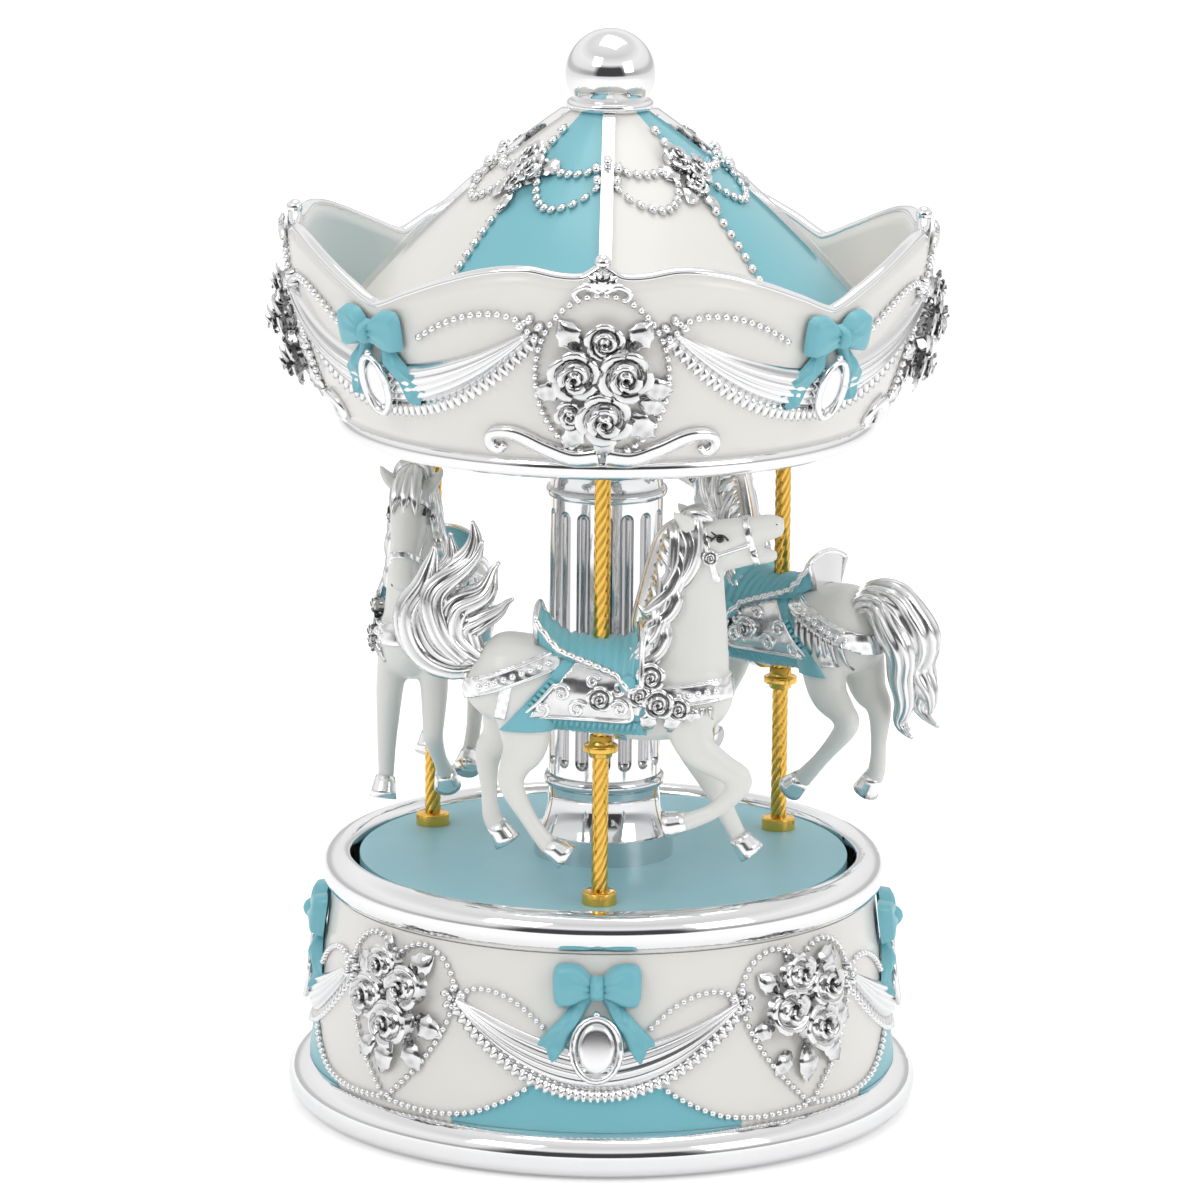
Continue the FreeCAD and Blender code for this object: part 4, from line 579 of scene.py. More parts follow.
# A heart of beads with a posy inside, flowers where the swags hang, and strings of beads between
heart = {
    "outline": ((0, 30.4), (1.6, 32.2), (5.2, 33.4), (9.0, 32.0), (11.4, 28.6), (11.6, 24.6), (10.0, 20.0),
                (6.4, 14.6), (2.6, 10.6), (0, 8.3)),
    "bead": 0.6,
    "roses": ((-4.3, 23.6, 0.8, 3.7, 0), (1.6, 20.4, 1.2, 3.8, 30), (3.6, 26.4, 1.0, 3.6, 70),
              (-1.6, 29.0, 0.9, 3.2, 15)),
    "leaves": ((3.0, 28.0, 0.7, 6.0, 42), (5.0, 22.0, 0.7, 5.8, -22), (3.6, 18.4, 0.7, 5.6, -56),
               (0.0, 17.8, 0.7, 6.0, -98), (-5.0, 26.6, 0.7, 5.0, 138), (-2.0, 30.6, 0.4, 3.2, 95),
               (-6.2, 21.6, 0.5, 4.4, 195), (-3.6, 17.2, 0.5, 4.6, -130)),
    "lowString": ((0, 8.3), (5.5, 7.9), (11.0, 7.9), (17.0, 8.9), (22.0, 11.2), (25.6, 13.6)),
    "flower": (11.7, 26.2), "flowerSize": 2.1,
}
hearts = newShape()
for flip in (1, -1):
    addBeads(hearts, flipped(heart["outline"], flip), heart["bead"])
    addBeads(hearts, flipped(heart["lowString"], flip), heart["bead"])
    stamp(hearts, flowerShape, moved(heart["flower"][0] * flip, heart["flower"][1], 0.7, heart["flowerSize"]))
posy(hearts, heart["roses"], heart["leaves"])
finish("baseHearts", fourTimes(hearts, drumWall, 45), "shadedReliefSilver", "base", ("base_hearts",))

topString = {"path": ((-22.0, 27.0), (-19.2, 28.1), (-15.6, 27.8), (-12.0, 26.2), (-9.0, 23.8), (-7.6, 22.4)),
             "bead": 0.58}
strings = newShape()
for flip in (1, -1):
    addBeads(strings, flipped(topString["path"], flip), topString["bead"])
finish("baseStrings", fourTimes(strings, drumWall), "shadedReliefSilver", "base")

# The teal field below the swags, a skin laid on the wall
field = {"low": 7.05, "thick": 0.16, "edge": ((0, 12.6), (9.5, 14.0), (14.0, 11.6), (19.0, 9.2), (23.5, 7.6))}
fieldShape = newShape()
fieldEdge = smoothPath(field["edge"], 24)
fieldTop = [Vector((-p.x, p.y)) for p in fieldEdge[:0:-1]] + fieldEdge
fieldRows = []
for t in (0.0, 0.06, 0.5, 0.94, 1.0):
    lift = field["thick"] if 0 < t < 1 else 0.1
    fieldRows.append([((p.x, field["low"] + (p.y - field["low"]) * t, lift), 0.0) for p in fieldTop])
addSkin(fieldShape, fieldRows)
finish("tealField", fourTimes(fieldShape, drumWall), "tealLacquer", "base")
print("stage: base")

# The crown: a flared wall whose rim swings up to four tips
crownWall = arcThrough((42.502, 112.3), (50.602, 143.0), 1.9)
crown = {"wall": 2.2, "low": 112.3, "tip": 143.0, "notch": 134.2, "rim": 0.85, "steps": 400, "levels": 14,
         "rimDrops": ((0, 0), (0.07, 1.6), (0.16, 1.7), (0.3, 0.9), (0.46, 1.6), (0.64, 3.6), (0.82, 6.2))}


def rimLevel(turn):
    away = abs((turn + 45) % 90 - 45) / 45
    points = [(share, crown["tip"] - drop) for share, drop in crown["rimDrops"]] + [(1.0, crown["notch"])]
    points = points[:1] + points + points[-1:]
    for (_, before), (a, low), (b, high), (_, after) in zip(points, points[1:], points[2:], points[3:]):
        if away <= b:
            t = (away - a) / (b - a)
            start = (high - before) / 2
            end = (after - low) / 2
            leaving = (low * (1 + 2 * t) + start * t) * (1 - t) ** 2
            arriving = (high * (3 - 2 * t) - end * (1 - t)) * t ** 2
            return leaving + arriving
    return crown["notch"]


crownShape = newShape()
turns = [360 * i / crown["steps"] for i in range(crown["steps"])]
levels = [k / crown["levels"] for k in range(crown["levels"] + 1)]
rows = []
for inner in (0, 1):
    for share in (levels if not inner else levels[::-1]):
        row = []
        for turn in turns:
            level = crown["low"] + (rimLevel(turn) - crown["low"]) * share
            radius = crownWall(level) - (crown["wall"] if inner else 0)
            row.append(crownShape.verts.new(around(radius, turn, level) * mm))
        rows.append(row)
gridFaces(crownShape, rows + rows[:1], True)
finish("crownWall", crownShape, "pearlLacquer", "carousel", ("crown",))

rimShape = newShape()
rimPath = []
for i in range(720):
    level = rimLevel(i / 2) + 0.2
    radius = crownWall(min(level, crown["tip"])) - crown["wall"] / 2
    rimPath.append(around(radius, i / 2, level))
stamp(rimShape, tube(rimPath + rimPath[:2], crown["rim"] * 1.25, 10, 0.8, tip=False), lambda p: p * mm)
finish("crownRim", rimShape, "silverPlate", "carousel")

crownTrim = {
    "knot": 131.0, "bowLift": 0.2, "bowSize": 0.92,
    "cameo": 123.0, "cameoLift": 1.2, "cameoHalf": 2.5, "cameoTall": 4.4,
    "swag": {"half": 28.0, "top": 125.6, "topRise": 8.0, "topCurve": 1.7, "low": 119.2, "lowRise": 13.4,
             "lowCurve": 2.0, "puff": 1.5, "fold": 0.26, "pleats": 5, "hem": 2.2, "ruffles": 44},
}
dressWall("crown", "carousel", crownWall, 45, crownTrim)

medallion = {
    "middle": 126.4, "half": 10.1, "tall": 12.8, "bead": 0.66,
    "roses": ((-3.9, 127.4, 0.9, 3.9, 0), (3.4, 127.6, 1.3, 4.0, 40), (0.4, 121.0, 1.3, 4.1, 20),
              (0.4, 132.4, 0.6, 3.0, 70), (-4.8, 120.6, 0.2, 2.3, 30)),
    "leaves": ((-3.2, 130.6, 0.6, 5.8, 125), (3.8, 130.8, 0.6, 5.8, 50), (-5.6, 124.6, 0.6, 4.8, 195),
               (5.6, 125.0, 0.6, 5.2, -8), (0.4, 118.4, 0.6, 5.2, -92), (3.4, 120.4, 0.6, 6.0, -38),
               (-2.8, 118.6, 0.6, 4.8, -128), (5.4, 122.6, 0.5, 4.6, -20)),
    "flower": (11.0, 133.6), "flowerSize": 2.2,
    "scroll": ((0.6, 113.4), (4.6, 113.0), (9.0, 114.6), (13.4, 116.6), (16.8, 116.4), (17.4, 114.6),
               (16.0, 113.6), (15.0, 114.6)),
    "string": ((11.8, 134.6), (16.0, 135.6), (21.0, 135.0), (26.0, 133.0), (29.8, 130.6)),
}
medals = newShape()
ring = ovalPath(medallion["half"], medallion["tall"], 48)
addBeads(medals, [Vector((p.x, p.y + medallion["middle"])) for p in ring + ring[:1]], medallion["bead"])
for flip in (1, -1):
    stamp(medals, flowerShape, moved(medallion["flower"][0] * flip, medallion["flower"][1], 0.8,
                                     medallion["flowerSize"]))
    addBeads(medals, flipped(medallion["string"], flip), medallion["bead"])
    scroll = [Vector((x * flip, z, 0.5)) for x, z in medallion["scroll"]]
    stamp(medals, tube(smoothPath(scroll, 48), lambda t: 1.6 - 1.0 * t, 8, 0.8))
posy(medals, medallion["roses"], medallion["leaves"])
finish("crownMedallions", fourTimes(medals, crownWall), "shadedReliefSilver", "carousel",
       ("crown_medallions",))

# A little shell with two side curls on each tip, under its ball
shell = {"level": 141.2, "ribs": (-40, -20, 0, 20, 40), "length": 3.4}
shells = newShape()
for angle in shell["ribs"]:
    stamp(shells, leafShape, moved(0, shell["level"] - 1.6, 0.8, shell["length"], 90 - angle))
for flip in (1, -1):
    curl = [Vector((0.4 * flip, shell["level"] - 1.4, 0.7)), Vector((2.4 * flip, shell["level"] - 0.6, 0.9)),
            Vector((4.2 * flip, shell["level"] - 1.6, 0.8)), Vector((3.6 * flip, shell["level"] - 2.8, 0.8))]
    stamp(shells, tube(smoothPath(curl, 18), lambda t: 0.7 - 0.3 * t, 7))
finish("crownShells", fourTimes(shells, crownWall), "silverPlate", "carousel")

# The roof's chains of beads, sprays of roses and looped strings
roofWall = arcThrough((40.202, 128.7), (5.9, 160.2), 1.6)
spray = {
    "chain": ((0, 132.0), (0, 139.0), (0, 147.0), (0, 153.0), (0, 158.6)), "bead": 0.72,
    "roses": ((-0.9, 153.2, 0.7, 1.9, 0), (1.3, 151.4, 0.9, 1.9, 40), (-0.6, 149.8, 0.7, 1.6, 70)),
    "leaves": ((-1.8, 152.2, 0.6, 3.2, 200), (2.0, 152.4, 0.6, 3.4, -5), (0.2, 148.8, 0.6, 3.0, -85),
               (-1.6, 149.6, 0.6, 3.0, -140)),
    "upper": ((2.0, 153.0), (5.0, 152.0), (8.6, 151.8), (12.2, 152.8)),
    "lower": ((2.4, 151.4), (5.2, 148.4), (8.8, 147.0), (12.2, 148.2), (13.4, 150.4), (12.4, 152.2)),
}
sprays = newShape()
addBeads(sprays, [Vector(p) for p in spray["chain"]], spray["bead"])
for flip in (1, -1):
    for name in ("upper", "lower"):
        addBeads(sprays, flipped(spray[name], flip), spray["bead"] * 0.88)
posy(sprays, spray["roses"], spray["leaves"])
finish("roofSprays", fourTimes(sprays, roofWall, 45), "shadedReliefSilver", "carousel", ("roof_roses",))

ribKnot = {"level": 152.4, "bead": 0.75}
ribKnots = newShape()
for u, v in ((-1.7, 0), (1.7, 0), (-1.5, -1.6), (1.5, -1.6), (0, 0.6)):
    stamp(ribKnots, bead(ribKnot["bead"]), moved(u, ribKnot["level"] + v, 0.5 if u else 1.1))
finish("ribKnots", fourTimes(ribKnots, roofWall), "silverPlate", "carousel")
print("stage: crown and roof")

# Poles of twisted strands
pole = {"radius": 1.3, "strands": 7, "lead": 13.0, "groove": 0.1, "sides": 42, "steps": 160}
for number in (1, 2, 3):
    low, high = (Vector(corner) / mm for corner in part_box(f"pole_{number}"))
    middle = (low + high) / 2
    shape = newShape()
    rows = []
    for i in range(pole["steps"] + 1):
        level = low.z + (high.z - low.z) * i / pole["steps"]
        row = []
        for k in range(pole["sides"]):
            angle = 2 * math.pi * k / pole["sides"]
            wave = math.cos(pole["strands"] * (angle - 2 * math.pi * level / pole["lead"]))
            reach = pole["radius"] * (1 + pole["groove"] * (wave - 1) / 2)
            spot = Vector((middle.x + reach * math.cos(angle), middle.y + reach * math.sin(angle), level))
            # Painted shade in the grooves between the strands
            row.append((spot * mm, max(0.0, -wave) ** 2))
        rows.append(row)
    addSkin(shape, rows, True, True)
    finish(f"twistedPole{number}", shape, "goldPlate", "carousel", (f"pole_{number}",))

# Collars where each pole stands and where its horse rests, turned round the pole
collar = {
    "foot": ((1.2, 40.0), (2.7, 40.0), (2.7, 40.1), (2.7, 41.7), (2.68, 41.8), (2.5, 41.95), (2.4, 42.0),
             (1.2, 42.0)),
    "stop": ((1.2, 63.5), (1.7, 63.5), (1.8, 63.6), (1.85, 64.2), (1.95, 64.3), (2.5, 64.35), (2.66, 64.45),
             (2.7, 64.55), (2.7, 65.3), (2.66, 65.4), (2.5, 65.5), (1.95, 65.55), (1.8, 65.7), (1.75, 66.9),
             (1.2, 66.9)),
    "sides": 40, "reach": 32.5,
}
collars = newShape()
for turn in (0, -120, 120):
    middle = around(collar["reach"], turn, 0)
    for name in ("foot", "stop"):
        profile = [collars.verts.new((middle + Vector((reach, 0, level))) * mm)
                   for reach, level in collar[name]]
        edges = [collars.edges.new(ends) for ends in zip(profile, profile[1:])]
        bmesh.ops.spin(collars, geom=profile + edges, cent=middle * mm, axis=(0, 0, 1), angle=2 * math.pi,
                       steps=collar["sides"], use_merge=True)
finish("turnedCollars", collars, "goldPlate", "carousel", ("pole_collars",))
print("stage: poles")

# Horses are drawn with x forward, y to the inner side and z above the collar
# Each station of a limb is x, y, z, half depth and half width
torso = ((-20.4, 0, 11.0, 2.4, 1.8), (-19.0, 0, 10.5, 5.1, 4.1), (-16, 0, 10.1, 7.2, 5.7),
         (-11.5, 0, 9.8, 7.3, 6.1), (-6, 0, 9.3, 6.8, 5.8), (0, 0, 8.6, 7.0, 6.0), (6, 0, 8.3, 7.5, 6.1),
         (11, 0, 8.8, 7.7, 5.9), (15.5, 0, 9.2, 6.9, 5.2), (18.6, 0, 9.6, 4.9, 3.8), (20.2, 0, 9.8, 2.4, 1.8))
raised = {
    "neck": ((11.6, 0, 10.5, 8.2, 5.3), (12.4, 0, 15.5, 7.5, 4.5), (13.2, 0, 20, 6.4, 3.7),
             (13.8, 0, 25, 5.3, 3.1), (14, 0, 29, 4.6, 2.8), (14.2, 0, 32, 3.6, 2.5)),
    "head": ((12.6, 0, 31.4, 2.6, 2), (15, 0, 31.5, 4, 2.7), (18, 0, 32.1, 4.1, 2.9),
             (20.8, 0, 33.4, 3.1, 2.4), (23.8, 0, 34.5, 2.3, 1.95), (26.2, 0, 35.1, 2.0, 1.95),
             (28.0, 0, 35.1, 1.3, 1.5)),
    "jaw": ((16.4, 0, 29.9, 2.6, 2.3), (20, 0, 30.2, 2.0, 1.8), (23.4, 0, 30.5, 1.4, 1.4),
            (25.6, 0, 30.5, 1.1, 1.35), (27.0, 0, 30.8, 0.8, 1.0)),
    "ear": ((14.6, 1.8, 33.8, 1.4, 1.0), (13.2, 2.9, 35.8, 1.4, 0.9), (11.2, 3.6, 37.6, 0.4, 0.35)),
    "forelock": ((12.4, 36.0, 0.9), (14.0, 36.9, 1.2), (15.8, 36.7, 1.0), (17.2, 36.1, 0.2)),
    "crest": ((16.4, 0, 36.6), (13.2, 0, 36.0), (10.2, 0, 33.8), (8.9, 0, 30.0), (8.0, 0, 26.0),
              (6.8, 0, 22.0), (5.6, 0, 18.4)),
    "maneCore": ((13.0, 0, 35.6, 1.2, 1.2), (10.6, 0, 33, 2.2, 1.8), (9.2, 0, 28.5, 2.5, 2.0),
                 (8.0, 0, 23.5, 2.6, 2.2), (6.8, 0, 19, 2.3, 2.0), (6.6, 0, 16.2, 1.0, 1.0)),
    "eye": (18.4, 2.72, 33.4), "nostril": (26.9, 1.35, 35.7), "axis": (0.965, 0, 0.26),
    "noseband": (22.9, 0, 33.4), "throat": (16.6, 0, 31.4),
    "cheek": ((17.0, 2.75, 30.6), (20.0, 2.35, 31.6), (22.9, 2.0, 32.6)),
}
tucked = {
    "neck": ((11.6, 0, 10.5, 8.2, 5.3), (12.8, 0, 16, 7.3, 4.5), (14, 0, 21, 6.2, 3.8),
             (14.6, 0, 26, 5.2, 3.2), (14.4, 0, 30, 4.3, 2.9), (13.6, 0, 32.6, 3.3, 2.5)),
    "head": ((12.6, 0, 33, 2.4, 2), (15.0, 0, 31.6, 3.8, 2.7), (17.2, 0, 28.8, 4.0, 2.9),
             (18.9, 0, 25.2, 3.0, 2.35), (20.2, 0, 21.8, 2.4, 1.95), (21, 0, 19.4, 2.2, 1.95),
             (21.4, 0, 17.8, 1.5, 1.5)),
    "jaw": ((14.6, 0, 28.6, 2.4, 2.2), (16.4, 0, 25, 1.8, 1.7), (18.0, 0, 21.6, 1.3, 1.3),
            (18.8, 0, 19.8, 1.2, 1.3), (19.2, 0, 18.6, 0.8, 1.0)),
    "ear": ((14.2, 2.0, 32.8, 1.5, 1.1), (15.0, 3.9, 34.6, 1.5, 0.9), (15.4, 5.2, 36.6, 0.4, 0.35)),
    "forelock": ((13.0, 36.0, 0.9), (16.6, 35.2, 1.2), (19.4, 32.6, 1.0), (20.6, 30.0, 0.2)),
    "crest": ((15.4, 0, 36.2), (12.2, 0, 36.2), (10.6, 0, 33.6), (9.8, 0, 30.0), (9.0, 0, 26.0),
              (7.6, 0, 22.0), (5.9, 0, 18.4)),
    "maneCore": ((12.4, 0, 35.6, 1.2, 1.2), (10.8, 0, 33.5, 2.2, 1.8), (9.9, 0, 29, 2.5, 2.0),
                 (9.1, 0, 24, 2.6, 2.2), (7.6, 0, 19.5, 2.3, 2.0), (6.4, 0, 16.2, 1.0, 1.0)),
    "eye": (17.8, 2.72, 29.8), "nostril": (21.9, 1.35, 18.8), "axis": (0.427, 0, -0.904),
    "noseband": (19.7, 0, 22.6), "throat": (15.2, 0, 30.2),
    "cheek": ((15.4, 2.75, 28.6), (17.4, 2.35, 25.2), (18.9, 2.0, 22.4)),
}
hindForward = ((-11.8, 3, 8, 5, 3), (-11.4, 3.6, 0.4, 3.7, 2.6), (-12.9, 3.9, -3, 2.5, 2),
               (-13.4, 4.1, -6.2, 2.0, 1.6), (-10.6, 4.3, -11.4, 1.35, 1.25), (-7.9, 4.4, -15.0, 1.5, 1.4),
               (-6.2, 4.4, -16.2, 1.6, 1.5))
hindBack = ((-14, 3, 8, 5, 3), (-15.7, 3.6, 0.4, 3.4, 2.6), (-18, 3.9, -3, 2.2, 1.9),
            (-17.9, 4.1, -9, 1.35, 1.25), (-17.4, 4.3, -13.6, 1.5, 1.4), (-16.0, 4.4, -15.8, 1.6, 1.5))
hindPush = ((-11.8, 3, 8, 5, 3), (-13.5, 3.6, 0.6, 3.7, 2.6), (-17, 3.9, -2.6, 2.4, 2),
            (-18.4, 4.1, -4.6, 2.0, 1.7), (-14, 4.3, -10, 1.35, 1.25), (-9.7, 4.4, -14.4, 1.5, 1.4),
            (-8.0, 4.4, -15.8, 1.6, 1.5))
foreRaised = ((13.5, 3, 7, 4.5, 2.6), (15.1, 3.8, 1, 3.1, 2.2), (19.2, 4.2, -2, 2.2, 1.8),
              (22.2, 4.3, -4.4, 1.95, 1.6), (18.5, 4.3, -8.8, 1.3, 1.2), (13.8, 4.3, -11.0, 1.45, 1.35),
              (12.2, 4.3, -11.3, 1.5, 1.4))
foreReach = ((13, 3, 7, 4.5, 2.6), (13.8, 3.8, 0, 3, 2.2), (16.6, 4.2, -6, 2, 1.7),
             (18.5, 4.3, -9.6, 1.6, 1.5), (21.2, 4.4, -15.2, 1.4, 1.3), (22.2, 4.4, -16.4, 1.5, 1.4))
foreStraight = ((13.5, 3, 7, 4.5, 2.6), (13.8, 3.8, 0.5, 3, 2.2), (13.6, 4.2, -5.5, 2, 1.8),
                (13.4, 4.4, -8.5, 1.7, 1.6), (13.2, 4.6, -14.3, 1.4, 1.3), (13.9, 4.7, -16.2, 1.5, 1.4))
foreBent = ((13.5, 3, 7, 4.5, 2.6), (15.2, 3.8, 0.8, 3, 2.2), (17.6, 4.3, -4, 2.1, 1.8),
            (18.2, 4.4, -6.6, 1.8, 1.6), (14, 4.5, -11.2, 1.3, 1.2), (10.8, 4.6, -14.0, 1.5, 1.4),
            (10.0, 4.6, -15.2, 1.5, 1.4))
# Each lock of a tail is x, y, z and radius along its run
raisedTail = (
    ((-18.6, 0, 12.4, 1.6), (-23.4, 0, 11.9, 2.3), (-28.0, 0, 14.6, 2.8), (-29.4, 0, 20.4, 2.6),
     (-26.8, 0, 25.4, 1.9), (-26.4, 0, 30.6, 0.25)),
    ((-18.6, 0.6, 12.8, 1.6), (-23.2, 0.9, 14.2, 2.3), (-26.6, 1.0, 18.6, 2.7), (-24.6, 0.8, 24.6, 2.6),
     (-20.6, 0.4, 29.0, 1.8), (-20.0, 0, 34.6, 0.25)),
    ((-18.6, -0.8, 13.2, 1.5), (-22.2, -1.0, 16.0, 2.3), (-22.8, -0.8, 20.6, 2.5), (-18.6, -0.4, 23.4, 1.8),
     (-16.0, 0, 28.2, 0.25)),
    ((-19.0, -0.6, 13.6, 1.2), (-20.4, -1.2, 17.4, 1.7), (-17.8, -1.0, 19.4, 1.4), (-13.6, -0.4, 22.6, 0.25)),
    ((-21, 1.2, 12.0, 1.5), (-25.6, 1.8, 15.6, 2.2), (-28.0, 1.6, 22.6, 2.1), (-24.0, 0.8, 27.6, 1.4),
     (-23.4, 0.4, 32.6, 0.25)),
    ((-21, -1.2, 13.0, 1.5), (-25.0, -1.9, 17.6, 2.1), (-25.8, -1.6, 23.6, 2.0), (-21.6, -0.8, 27.0, 1.3),
     (-18.2, -0.4, 31.6, 0.25)),
)
hangingTail = (
    ((-17.5, 0, 13.6, 1.6), (-22, 0, 14.8, 2.2), (-25.6, 0, 11, 2.6), (-26.8, 0, 5, 2.7),
     (-25.6, 0, -2, 2.1), (-27.2, 0, -9.4, 0.25)),
    ((-17.5, 1.0, 13, 1.5), (-21.6, 1.6, 13.4, 2.0), (-24.4, 1.8, 8, 2.3), (-24.8, 1.8, 1, 2.0),
     (-22.8, 1.2, -7.0, 0.25)),
    ((-17.5, -1.0, 13, 1.5), (-21.6, -1.6, 13.4, 2.0), (-24.4, -1.8, 8, 2.3), (-25.2, -1.8, 1, 1.9),
     (-25.0, -1.2, -7.4, 0.25)),
)
sweptTail = (
    ((-17.0, 0, 14.2, 1.7), (-20.6, -0.6, 16.6, 2.3), (-24.2, -2.4, 14.8, 2.8), (-26.0, -4.2, 9.4, 2.9),
     (-25.4, -5.4, 3.0, 2.3), (-27.6, -6.2, -3.0, 0.25)),
    ((-17.0, 1.0, 13.8, 1.6), (-20.4, 0.6, 15.6, 2.1), (-23.4, -1.2, 12.6, 2.5), (-24.4, -3.0, 6.4, 2.3),
     (-22.8, -4.4, -0.4, 1.7), (-23.4, -5, -6.0, 0.25)),
    ((-17.0, -1.0, 13.8, 1.6), (-20.8, -2.2, 15.4, 2.1), (-24.0, -4.2, 12.0, 2.4), (-25.6, -5.8, 6.0, 2.1),
     (-24.4, -6.6, -0.6, 1.5), (-26.8, -7.4, -5.2, 0.25)),
    ((-17.4, 0.2, 14.4, 1.4), (-21.8, 0.8, 14.2, 2.0), (-24.8, 0.2, 9.6, 2.3), (-25.4, -1.4, 3.6, 2.0),
     (-23.8, -2.6, -2.6, 1.3), (-25.2, -3.2, -6.6, 0.25)),
)
horses = (
    {"turn": 0, "yaw": -5, "front": raised, "tail": raisedTail, "wave": 0.3,
     "legs": ((hindForward, -1), (hindBack, 1), (foreRaised, -1), (foreReach, 1)),
     "fringe": (13.4, 14.8, 16.2, 17.4)},
    {"turn": -120, "yaw": 19, "front": tucked, "tail": hangingTail, "wave": 0.9,
     "legs": ((hindForward, 1), (hindBack, -1), (foreStraight, -1), (foreBent, 1)),
     "fringe": (13.4, 14.8, 16.2, 17.4)},
    {"turn": 120, "yaw": 17, "front": raised, "tail": sweptTail, "wave": 1.0,
     "legs": ((hindPush, 1), (hindBack, -1), (foreRaised, 1), (foreReach, -1)),
     "fringe": (-17.6, -16.2, -14.8, -13.4, -12.0, -10.6, -9.2, 13.4, 14.8, 16.2, 17.4)},
)
stand = {"radius": 32.5, "seat": 65.6, "grain": 0.42, "soften": 6}
# The brow, eye and nostril are x, y and z sizes, and the lid runs over the eye
faceForm = {
    "brow": (1.3, 0.7, 0.5), "eye": (0.62, 0.42, 0.55), "eyeTilt": -14, "nostril": (0.5, 0.3, 0.3),
    "nostrilTilt": 20,
    "lid": ((-1.4, 0.1, -0.25), (-0.5, 0.25, 0.6), (0.5, 0.25, 0.65), (1.3, 0.1, -0.1)), "lidRadius": 0.19,
    "lashes": 2,
}


def loft(stations, side=1, sides=20, fine=5):
    shape = newShape()
    run = smoothPath(stations, fine * (len(stations) - 1))
    path = [Vector((s[0], s[1] * side, s[2])) for s in run]
    rows = []
    for i, station in enumerate(run):
        along = (path[min(i + 1, len(path) - 1)] - path[max(i - 1, 0)]).normalized()
        deep = Vector((0, 1, 0)).cross(along).normalized()
        wide = along.cross(deep)
        row = []
        for k in range(sides):
            angle = 2 * math.pi * k / sides
            spot = path[i] + deep * station[3] * math.cos(angle) + wide * station[4] * math.sin(angle)
            row.append((spot, 0.0))
        rows.append(row)
    addSkin(shape, rows, True, True)
    bmesh.ops.recalc_face_normals(shape, faces=shape.faces)
    return shape


# Overlapping limbs are melted into one skin and softened
def melted(shape, grain, soften):
    mesh = bpy.data.meshes.new("limbs")
    shape.to_mesh(mesh)
    rough = bpy.data.objects.new("limbs", mesh)
    bpy.context.scene.collection.objects.link(rough)
    skin = rough.modifiers.new("skin", "REMESH")
    skin.mode = "VOXEL"
    skin.voxel_size = grain
    smooth = rough.modifiers.new("smooth", "SMOOTH")
    smooth.factor = 0.5
    smooth.iterations = soften
    baked = bpy.data.meshes.new_from_object(rough.evaluated_get(bpy.context.evaluated_depsgraph_get()))
    bpy.data.objects.remove(rough)
    result = bmesh.new()
    result.from_mesh(baked)
    bpy.data.meshes.remove(baked)
    if not result.verts.layers.float.get("hollow"):
        result.verts.layers.float.new("hollow")
    return result


# A strap or cloth is the stretch of skin between cutting planes, raised and given edges
def skinPatch(skin, cuts, lift, relief=None):
    patch = skin.copy()
    for point, normal in cuts:
        geometry = patch.verts[:] + patch.edges[:] + patch.faces[:]
        bmesh.ops.bisect_plane(patch, geom=geometry, plane_co=point, plane_no=normal, clear_outer=True)
    deep = patch.verts.layers.float["hollow"]
    patch.normal_update()
    normals = {vert: vert.normal.copy() for vert in patch.verts}
    for vert in patch.verts:
        rise, dark = relief(vert.co) if relief else (0.0, 0.0)
        vert[deep] = dark
        vert.co = vert.co + normals[vert] * (lift + rise)
    rim = [edge for edge in patch.edges if edge.is_boundary]
    skirt = bmesh.ops.extrude_edge_only(patch, edges=rim)
    for vert in [g for g in skirt["geom"] if isinstance(g, bmesh.types.BMVert)]:
        partner = next(e.other_vert(vert) for e in vert.link_edges if e.other_vert(vert) in normals)
        vert.co = partner.co - normals[partner] * (lift + 0.35)
    return patch


def slab(point, normal, half):
    normal = Vector(normal).normalized()
    point = Vector(point)
    return ((point + normal * half, normal), (point - normal * half, -normal))


def lock(run, groove, strands, sides=18, wave=0.0):
    steps = 34
    fine = smoothPath(run, steps)
    path = [Vector((p[0] + wave * i / steps * math.sin(i * 0.62 + run[1][1] * 2), p[1], p[2]))
            for i, p in enumerate(fine)]
    return tube(path, lambda t: fine[min(int(t * steps + 0.5), steps)][3], sides, 1.0, groove, strands)


def egg(center, size, angle=0.0):
    shape = newShape()
    bmesh.ops.create_icosphere(shape, subdivisions=2, radius=1.0)
    turn = Matrix.Rotation(math.radians(angle), 3, "Y")
    for vert in shape.verts:
        vert.co = turn @ Vector([a * b for a, b in zip(vert.co, size)]) + Vector(center)
    return shape


# The straps' carved relief, with painted shade in its low parts
def carving(point):
    wave = math.sin(point.x * 2.6 + point.z * 1.3) * math.sin(point.x * 1.3 - point.z * 2.6 + point.y)
    return 0.05 * wave, 0.3 * max(0.0, -wave)


def dulled(point):
    return 0.05 * noise.noise(point * 0.8), 0.2 + 0.15 * noise.noise(point * 0.6)


def ribbing(point):
    wave = math.cos((point.x - 0.6 * point.z) * 2 * math.pi / 0.95)
    return 0.1 * wave, 0.0


torsoRun = smoothPath(torso, 60)


def torsoAt(x):
    for a, b in zip(torsoRun, torsoRun[1:]):
        if a[0] <= x <= b[0]:
            return a.lerp(b, (x - a[0]) / (b[0] - a[0]))
    return torsoRun[-1]


def flankPoint(x, z, side, lift=0.0):
    station = torsoAt(x)
    share = (z - station[2]) / station[3]
    return Vector((x, side * (station[4] * math.sqrt(max(0.06, 1 - share * share)) + lift), z))


